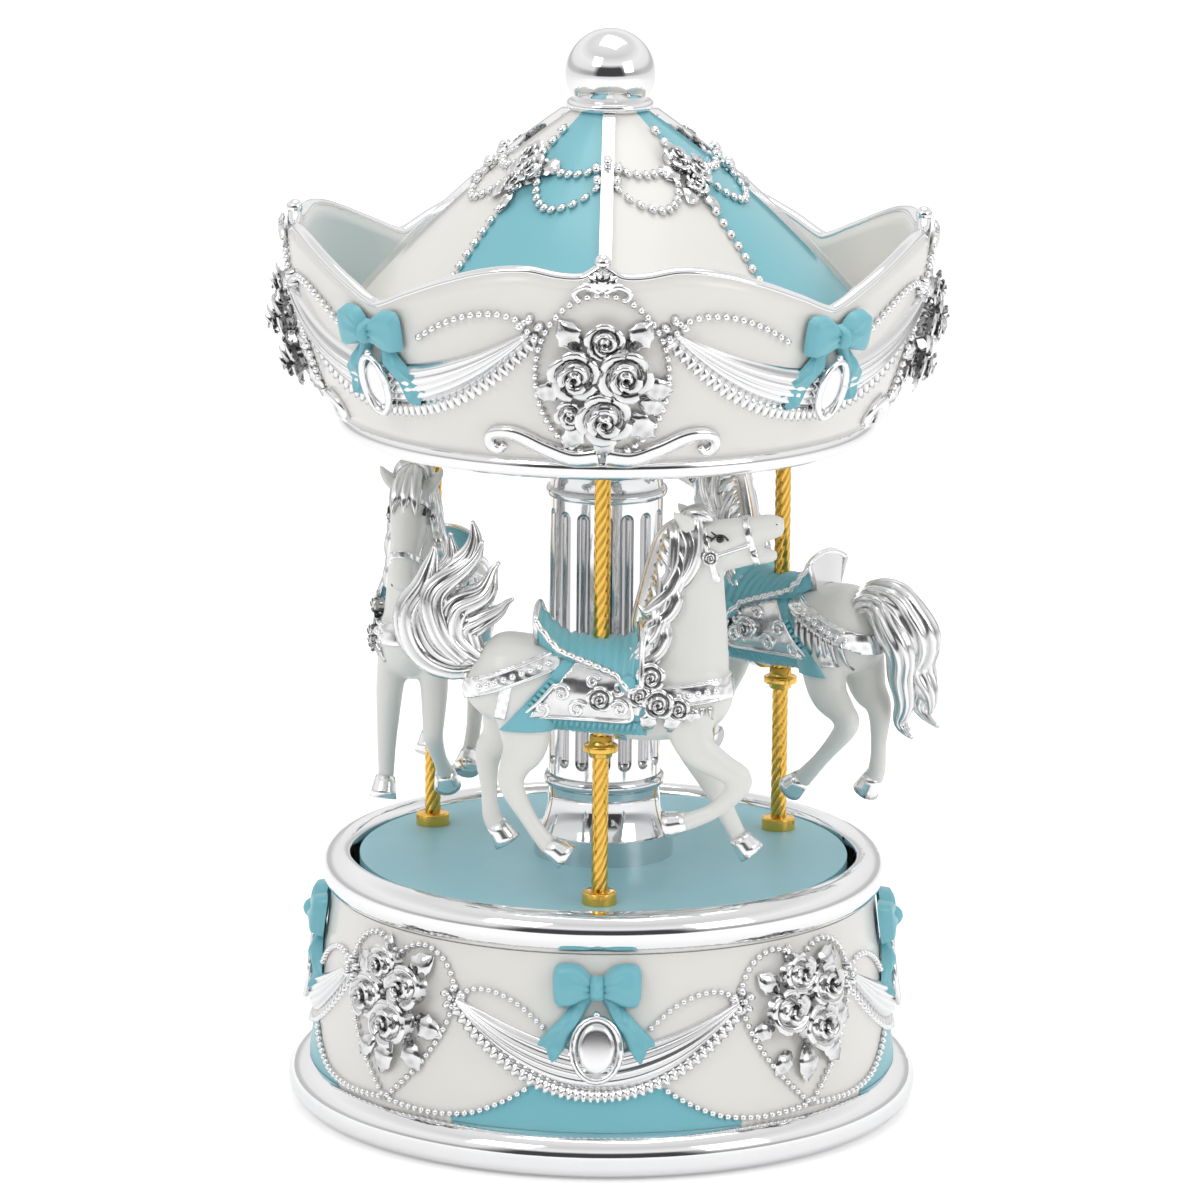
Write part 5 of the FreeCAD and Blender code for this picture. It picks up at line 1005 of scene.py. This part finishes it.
# Straps are slabs of the skin: noseband, throat, breast, rump, croup and girth, each cut off at its ends
straps = (
    {"at": "noseband", "half": 0.5, "lift": 0.22,
     "ends": (((0, 0, 15), (0, 0, -1)), ((16, 0, 0), (-1, 0, 0)))},
    {"at": "throat", "half": 0.45, "lift": 0.22,
     "ends": (((0, 0, 26.5), (0, 0, -1)), ((12, 0, 0), (-1, 0, 0)))},
    {"at": (12, 0, 9.2), "across": (-0.12, 0, 1), "half": 1.7, "lift": 0.4,
     "ends": (((8.0, 0, 0), (-1, 0, 0)),)},
    {"at": (-14, 0, 11.2), "across": (-0.36, 0, 0.93), "half": 1.45, "lift": 0.38,
     "ends": (((-6, 0, 0), (1, 0, 0)),)},
    {"at": (-14.6, 0, 7.4), "across": (0.98, 0, -0.2), "half": 0.9, "lift": 0.3,
     "ends": (((0, 0, 10.2), (0, 0, 1)), ((0, 0, 4.6), (0, 0, -1)))},
    {"at": (3.4, 0, 2), "across": (1, 0, 0), "half": 0.9, "lift": 0.35, "ends": (((0, 0, 4), (0, 0, 1)),)},
)
# Bands are near and far end, level, slant and half width, roses are place and size,
# and leaves, which lie on the flank, are place, lean and length
harness = {
    "bands": ((-18.4, -7.2, 16.618, 0.387, 1.25), (8.2, 18.6, 7.76, 0.12, 1.45)),
    "cord": 0.3, "stud": 0.55, "studStep": 1.5, "lift": 0.45, "cheekStrap": 0.42, "cheekRose": 1.25,
    "roses": ((8.4, 6.0, 12.4, 2.3), (9.6, 6.0, 8.2, 2.5), (12.6, 5.8, 7.4, 1.9), (6.6, 6.3, 9.4, 1.8),
              (0.6, 6.7, 8.8, 2.1)),
    "leaves": ((8.6, 6.8, -112, 3.8), (11.0, 6.4, -70, 4.0), (13.4, 6.8, -32, 3.6), (8.6, 13.8, 80, 3.4),
               (7.0, 8.0, -145, 3.4)),
    "longDrop": (0, 1.7, 3.4, 5.0), "shortDrop": (0, 0.8, 1.6, 2.2),
    "breastLevel": 7.4, "rumpLevel": 16.018, "rumpSlant": 0.387,
    "hoof": (-1.6, -0.4, 0.8, 1.9), "hoofRadius": 1.6, "hoofFlare": 0.65,
}


def flankLeaf(point, place, side):
    x, z, lean, long = place
    spot = Matrix.Rotation(math.radians(lean), 2) @ point.to_2d() * long
    return flankPoint(x + spot.x, z + spot.y, side, 0.35 + long * point.z)


# A scroll winds outward from its eye and runs off in a tail
def scrollPath(x, z, size, start, turns, hand):
    path = []
    for i in range(25):
        t = i / 24
        angle = math.radians(start) + hand * turns * 2 * math.pi * (1 - t)
        reach = size * (0.16 + 0.84 * t)
        path.append((x + reach * math.cos(angle), z + reach * math.sin(angle)))
    return path


scrolls = ((-8.6, 6.6, 1.5, 200, 1.3, 1), (-5.4, 9.4, 1.4, 150, 1.3, -1), (-3.0, 6.8, 1.5, 30, 1.3, 1),
           (3.6, 7.2, 1.5, 160, 1.3, -1), (-0.6, 11.2, 1.1, 20, 1.2, 1), (3.4, 10.4, 1.2, 200, 1.2, 1))
# The cantle and pommel are height, start, run and how steeply they rise, and drop is the angle of each side
seat = {"back": -9.8, "front": 7.0, "thick": 1.5, "ribs": 1.4, "ribHeight": 0.2, "edge": 0.2, "cord": 0.5,
        "cantle": (3.5, -5, 4.8, 1.4), "pommel": (3.0, 3.5, 3.5, 1.6), "steps": 60, "across": 16, "depth": 5,
        "drop": ((-9.8, 26), (-6, 44), (-1, 55), (3, 66), (5.2, 84), (7.0, 78))}


def seatDrop(x):
    for (a, low), (b, high) in zip(seat["drop"], seat["drop"][1:]):
        if x <= b:
            return low + (high - low) * (x - a) / (b - a)
    return seat["drop"][-1][1]


def saddleSeat():
    shape = newShape()
    rows = []
    for i in range(seat["steps"] + 1):
        x = seat["back"] + (seat["front"] - seat["back"]) * i / seat["steps"]
        station = torsoAt(x)
        row = []
        for j in range(2 * seat["across"] + 1):
            s = -1 + j / seat["across"]
            angle = math.radians(seatDrop(x) * s)
            out = seat["thick"] + seat["ribHeight"] * math.cos(2 * math.pi * x / seat["ribs"])
            for name, way in (("cantle", -1), ("pommel", 1)):
                height, start, run, steep = seat[name]
                if (x - start) * way > 0:
                    out += height * ((x - start) * way / run) ** steep * math.cos(angle) ** 2
            if abs(s) == 1:
                out = seat["edge"]
            level = station[2] + (station[3] + out) * math.cos(angle)
            row.append((Vector((x, (station[4] + out) * math.sin(angle), level)), 0.0))
        rows.append(row)
    addSkin(shape, rows)
    edge = [[row[k][0] for row in rows] for k in (1, -2)]
    ends = [[point for point, _ in rows[k]] for k in (0, -1)]
    trim = newShape()
    for part, run, back in ((trim, ends[0], -0.6), (shape, ends[1], 0.0)):
        upper = [part.verts.new(p) for p in run]
        lower = [part.verts.new(p - (p - Vector((p.x, 0, 8.5))).normalized() * seat["depth"]
                                + Vector((back, 0, 0))) for p in run]
        gridFaces(part, [upper, lower])
    for path in edge + ends:
        stamp(trim, tube(path, seat["cord"], 7))
    return shape, trim


saddleParts = saddleSeat()

# The cloth and the panel on it end at a bottom edge, a front edge and a slanted back edge
saddleForm = {
    "cloth": {"bottom": 2.9, "front": 7.6, "back": (-15.0, 0, 2.9), "lift": 0.5},
    "panel": {"bottom": 5.3, "front": 5.4, "back": (-11.4, 0, 4.4), "lift": 0.8},
    "slant": (-0.756, 0, 0.654), "button": (4.9, 11.2), "buttonSize": (1.5, 0.6, 1.5), "ribRadius": 0.34,
    "rim": ((-6.4, 10.8), (-9.0, 7.8), (-11.0, 5.5), (-6, 5.2), (0, 5.2), (5.2, 5.3), (5.3, 8.0)),
    "rimRadius": 0.32,
}
clothRibs = [((-13.4 + 0.9 * k, 3.2), (-12.9 + 0.9 * k, 4.9)) for k in range(22)]
clothRibs += [((-14.0 + 0.6 * k, 3.7 + 0.69 * k), (-13.0 + 0.6 * k, 2.9 + 0.69 * k)) for k in range(2, 12)]


def saddlePatch(skin, edges, relief):
    cuts = ((Vector((0, 0, edges["bottom"])), Vector((0, 0, -1))),
            (Vector((edges["front"], 0, 0)), Vector((1, 0, 0))),
            (Vector(edges["back"]), Vector(saddleForm["slant"])))
    return skinPatch(skin, cuts, edges["lift"], relief)


for number, horse in enumerate(horses, start=1):
    front = horse["front"]
    spot = around(stand["radius"], horse["turn"], stand["seat"])
    turn = Matrix.Rotation(math.radians(horse["turn"] + horse["yaw"]), 3, "Z")

    def inPlace(point, turn=turn, spot=spot):
        return (turn @ point + spot) * mm

    limbs = newShape()
    for stations in (torso, front["neck"], front["head"], front["jaw"]):
        stamp(limbs, loft(stations))
    for leg, side in horse["legs"]:
        stamp(limbs, loft(leg, side))
    for side in (1, -1):
        stamp(limbs, loft(front["ear"], side))
        eye = Vector(front["eye"])
        stamp(limbs, egg((eye.x - 0.2, (eye.y - 0.5) * side, eye.z + 0.55), faceForm["brow"]))
    skin = melted(limbs, stand["grain"], stand["soften"])
    body = newShape()
    stamp(body, skin, inPlace)
    finish(f"horseBody{number}", body, "horseEnamel", "carousel", (f"horse_{number}",))

    # eyes with lids and lashes, and nostrils
    face = newShape()
    for side in (1, -1):
        x, y, z = front["eye"]
        stamp(face, egg((x, y * side, z), faceForm["eye"], faceForm["eyeTilt"]))
        lid = [Vector((x + u, (y + out) * side, z + up)) for u, out, up in faceForm["lid"]]
        stamp(face, tube(smoothPath(lid, 14), faceForm["lidRadius"], 6))
        for k in range(faceForm["lashes"]):
            lash = [Vector((x - 1.2 + 0.8 * k, (y + 0.2) * side, z + 0.1 + 0.4 * k)),
                    Vector((x - 2.1 + 0.7 * k, (y + 0.1) * side, z + 0.6 + 0.6 * k))]
            stamp(face, tube(smoothPath(lash, 6), lambda t: 0.2 - 0.1 * t, 6))
        x, y, z = front["nostril"]
        stamp(face, egg((x, y * side, z), faceForm["nostril"], faceForm["nostrilTilt"]))
    features = newShape()
    stamp(features, face, inPlace)
    finish(f"horseFace{number}", features, "blackEnamel", "carousel")

    # hooves, bridle, straps and their roses
    tack = newShape()
    for leg, side in horse["legs"]:
        end, before = (Vector((s[0], s[1] * side, s[2])) for s in (leg[-1], leg[-2]))
        along = (end - before).normalized()
        sole = [end + along * step for step in harness["hoof"]]
        stamp(tack, tube(sole, lambda t: harness["hoofRadius"] + harness["hoofFlare"] * t, 16), inPlace)
    for strap in straps:
        middle = front[strap["at"]] if strap["at"] in front else strap["at"]
        cuts = slab(middle, strap.get("across", front["axis"]), strap["half"])
        cuts += tuple((Vector(point), Vector(normal)) for point, normal in strap["ends"])
        stamp(tack, skinPatch(skin, cuts, strap["lift"], carving), inPlace)
    for side in (1, -1):
        facing = Matrix.Rotation(math.radians(-90 * side), 3, "X")
        cheek = [Vector((x, y * side, z)) for x, y, z in front["cheek"]]
        stamp(tack, tube(smoothPath(cheek, 8), harness["cheekStrap"], 6), inPlace)
        for near, far, level, slant, half in harness["bands"]:
            for edge, size in ((half, harness["cord"]), (-half, harness["cord"]), (0, harness["stud"])):
                line = []
                for k in range(10):
                    x = near + (far - near) * k / 9
                    line.append(flankPoint(x, level + slant * x + edge, side, harness["lift"]))
                if edge:
                    stamp(tack, tube(smoothPath(line, 30), size, 6), inPlace)
                    continue
                for point in evenPath(line, harness["studStep"]):
                    stamp(tack, egg(point, (size, size, size)), inPlace)
        for x, y, z, size in ((*front["cheek"][0], harness["cheekRose"]), *harness["roses"]):
            stamp(tack, roseShape, lambda p: inPlace(facing @ (p * size) + Vector((x, y * side, z))))
        for place in harness["leaves"]:
            stamp(tack, leafShape, lambda p: inPlace(flankLeaf(p, place, side)))
        for x in horse["fringe"]:
            level = harness["rumpLevel"] + harness["rumpSlant"] * x if x < 0 else harness["breastLevel"]
            drops = harness["longDrop"] if x < 0 else harness["shortDrop"]
            drop = [flankPoint(x, level - k, side, harness["lift"]) for k in drops]
            stamp(tack, tube(drop, lambda t: 0.5 + 0.12 * math.sin(t * 9) - 0.15 * t, 8, 1.0, 0.15, 4),
                  inPlace)
    finish(f"horseTack{number}", tack, "castSilver", "carousel")

    # saddle cloth with a ribbed border and a carved panel, and the ribbed seat
    saddle = newShape()
    stamp(saddle, saddlePatch(skin, saddleForm["cloth"], ribbing), inPlace)
    stamp(saddle, saddleParts[0], inPlace)
    for side in (1, -1):
        stamp(saddle, egg(flankPoint(*saddleForm["button"], side, 1.5), saddleForm["buttonSize"]), inPlace)
        for ends in clothRibs:
            rib = [flankPoint(x, z, side, 0.75) for x, z in ends]
            stamp(saddle, tube(rib, saddleForm["ribRadius"], 6), inPlace)
    finish(f"saddleCloth{number}", saddle, "tealLacquer", "carousel", (f"saddle_{number}",))
    trim = newShape()
    stamp(trim, saddlePatch(skin, saddleForm["panel"], dulled), inPlace)
    for side in (1, -1):
        for x, z, size, start, turns, hand in scrolls:
            path = [flankPoint(u, w, side, 0.95) for u, w in scrollPath(x, z, size, start, turns, hand)]
            stamp(trim, tube(path, lambda t: 0.26 + 0.16 * t, 7), inPlace)
        rim = [flankPoint(x, z, side, 1.0) for x, z in saddleForm["rim"]]
        stamp(trim, tube(smoothPath(rim, 42), saddleForm["rimRadius"], 7), inPlace)
    stamp(trim, saddleParts[1], inPlace)
    finish(f"saddleTrim{number}", trim, "castSilver", "carousel")

    # mane and tail as grooved locks
    mane = newShape()
    stamp(mane, loft(front["maneCore"]), inPlace)
    crest = smoothPath(front["crest"], 13)[2:-1]
    for offset in (-1.5, 0.0, 1.5):
        spread = (0, offset * 0.7, offset, offset * 1.3)
        run = [(x, y, z, radius) for (x, z, radius), y in zip(front["forelock"], spread)]
        stamp(mane, lock(run, 0.1, 7), inPlace)
    for i, root in enumerate(crest):
        sway = (0.9 + 0.4 * math.sin(i * 2.3)) * min(1.0, 0.5 + 0.13 * i)
        flick = (0.55 + 0.3 * math.sin(i * 1.7 + 1)) * min(1.0, (root.z - 17) / 8)
        for side in (1, -1):
            wide = 2.7 + (32 - root.z) * 0.12
            fall = min(1.0, max(0.45, (root.z - 9) / 16)) * (1 + 0.15 * math.sin(i * 2.9))
            steps = ((0.4, 0.3, 0.4, 1.0), (0.9, 1.8, -0.4 * fall, 1.3),
                     (2.6 * sway, wide, -3.0 * fall, 1.35), (2.0 * sway, wide + 0.5, -6.2 * fall, 1.3),
                     (-0.3, wide + 0.8, -8.8 * fall, 1.1), (-2.2 * flick, wide + 0.7, -10.2 * fall, 0.7),
                     (-3.8 * flick, wide + 0.3, -9.2 * fall, 0.15))
            run = [(root.x + x, y * side, root.z + z, radius) for x, y, z, radius in steps]
            stamp(mane, lock(run, 0.12, 7, 22), inPlace)
    finish(f"maneLocks{number}", mane, "castSilver", "carousel", (f"mane_{number}",))
    tail = newShape()
    for run in horse["tail"]:
        stamp(tail, lock(run, 0.13, 9, 36, horse["wave"]), inPlace)
    finish(f"tailLocks{number}", tail, "castSilver", "carousel", (f"tail_{number}",))
print("stage: horses")

# A white studio with a dim zone behind the camera, which the plating mirrors in its middle
studio = {
    "floor": "#ffffff", "floorSize": 8.0, "floorLevel": -0.0002, "floorGlow": 0.25, "mirrored": 0.3,
    "bright": 0.86, "dim": (0.07, 0.07, 0.075, 1), "lampAim": (0, 0, 0.08), "sensor": 36.0,
    "distance": 1.05, "height": 0.312, "aim": (-0.0009, 0.0, 0.0812), "turn": 1.0, "roll": 0.5, "lens": 202.5,
}
floorShape = bmesh.new()
bmesh.ops.create_grid(floorShape, x_segments=1, y_segments=1, size=studio["floorSize"] / 2)
floorMesh = bpy.data.meshes.new("floor")
floorShape.to_mesh(floorMesh)
paper = surface("floorPaper", {"color": studio["floor"], "rough": 0.9})


# Camera rays see the white background in full, and mirrored or refracted rays see a share of it
def backgroundShare(tree, share):
    ray = addNode(tree, "ShaderNodeLightPath").outputs
    bounced = addNode(tree, "ShaderNodeMath", {0: ray["Is Glossy Ray"], 1: ray["Is Transmission Ray"]},
                      operation="ADD")
    total = addNode(tree, "ShaderNodeMath", {0: bounced.outputs["Value"], 1: share, 2: ray["Is Camera Ray"]},
                    operation="MULTIPLY_ADD")
    return total.outputs["Value"]


tree = paper.node_tree
glow = addNode(tree, "ShaderNodeMath", {0: backgroundShare(tree, studio["mirrored"]), 1: studio["floorGlow"]},
               operation="MULTIPLY")
paperShader = tree.nodes["Principled BSDF"].inputs
paperShader["Emission Color"].default_value = (1, 1, 1, 1)
tree.links.new(glow.outputs["Value"], paperShader["Emission Strength"])
floorMesh.materials.append(paper)
floor = bpy.data.objects.new("floor", floorMesh)
floor.location.z = studio["floorLevel"]
bpy.context.scene.collection.objects.link(floor)

world = bpy.data.worlds.new("studio")
bpy.context.scene.world = world
world.use_nodes = True
tree = world.node_tree
tree.nodes.clear()
place = addNode(tree, "ShaderNodeTexCoord")
axes = addNode(tree, "ShaderNodeSeparateXYZ", {"Vector": place.outputs["Generated"]}).outputs
# Each band is grey along one axis of the view direction: places from -1 to 1 and their brightness
bands = {
    "walls": ("Z", ((-1.0, 0.8), (-0.05, 0.75), (0.04, 0.45), (0.12, 0.5), (0.22, 0.95), (0.5, 1.1),
                    (0.75, 0.8), (1.0, 1.0))),
    "behind": ("Y", ((-1.0, 1.0), (-0.84, 1.0), (-0.7, 0.0), (1.0, 0.0))),
    "dimHeight": ("Z", ((-0.1, 0.0), (0.0, 1.0), (0.34, 1.0), (0.46, 0.0))),
    "beyond": ("Y", ((-1.0, 0.0), (-0.6, 0.0), (0.1, studio["mirrored"]), (1.0, studio["mirrored"]))),
}
grey = {}
for name, (axis, stops) in bands.items():
    level = addNode(tree, "ShaderNodeMapRange", {"Value": axes[axis], "From Min": -1.0, "From Max": 1.0})
    band = addNode(tree, "ShaderNodeValToRGB", {"Fac": level.outputs["Result"]})
    elements = band.color_ramp.elements
    for i, (height, value) in enumerate(stops):
        stop = elements[i] if i < 2 else elements.new(1.0)
        stop.position = (height + 1) / 2
        stop.color = (value, value, value, 1)
    grey[name] = band.outputs["Color"]
dim = addNode(tree, "ShaderNodeMath", {0: grey["behind"], 1: grey["dimHeight"]}, operation="MULTIPLY")
colors = {colorSockets["first"]: grey["walls"], colorSockets["second"]: studio["dim"]}
shade = addNode(tree, "ShaderNodeMix", {0: dim.outputs["Value"], **colors}, data_type="RGBA")
room = addNode(tree, "ShaderNodeBackground",
               {"Color": shade.outputs[colorSockets["result"]], "Strength": studio["bright"]})
backdrop = addNode(tree, "ShaderNodeBackground", {"Color": (1, 1, 1, 1), "Strength": 1.0})
mix = addNode(tree, "ShaderNodeMixShader", {"Fac": backgroundShare(tree, grey["beyond"]),
                                            1: room.outputs["Background"], 2: backdrop.outputs["Background"]})
addNode(tree, "ShaderNodeOutputWorld", {"Surface": mix.outputs["Shader"]})

lamps = (
    {"name": "key", "at": (-0.6, -0.75, 0.8), "size": 0.45, "power": 2.0},
    {"name": "fill", "at": (0.75, -0.6, 0.5), "size": 0.45, "power": 1.5},
    {"name": "top", "at": (0.05, 0.1, 1.0), "size": 0.6, "power": 1.9},
)
for lamp in lamps:
    light = bpy.data.lights.new(lamp["name"], "AREA")
    light.energy = lamp["power"]
    light.size = lamp["size"]
    holder = bpy.data.objects.new(lamp["name"], light)
    holder.location = lamp["at"]
    aim = Vector(studio["lampAim"]) - Vector(lamp["at"])
    holder.rotation_euler = aim.to_track_quat("-Z", "Y").to_euler()
    bpy.context.scene.collection.objects.link(holder)

camera = bpy.data.cameras.new("camera")
camera.lens = studio["lens"]
camera.sensor_width = studio["sensor"]
eye = bpy.data.objects.new("camera", camera)
eye.location = around(studio["distance"], studio["turn"], studio["height"])
look = (Vector(studio["aim"]) - eye.location).to_track_quat("-Z", "Y")
eye.rotation_euler = (look @ Quaternion((0, 0, 1), math.radians(studio["roll"]))).to_euler()
bpy.context.scene.collection.objects.link(eye)
bpy.context.scene.camera = eye
bpy.context.scene.view_settings.view_transform = "Standard"
print("stage: studio")
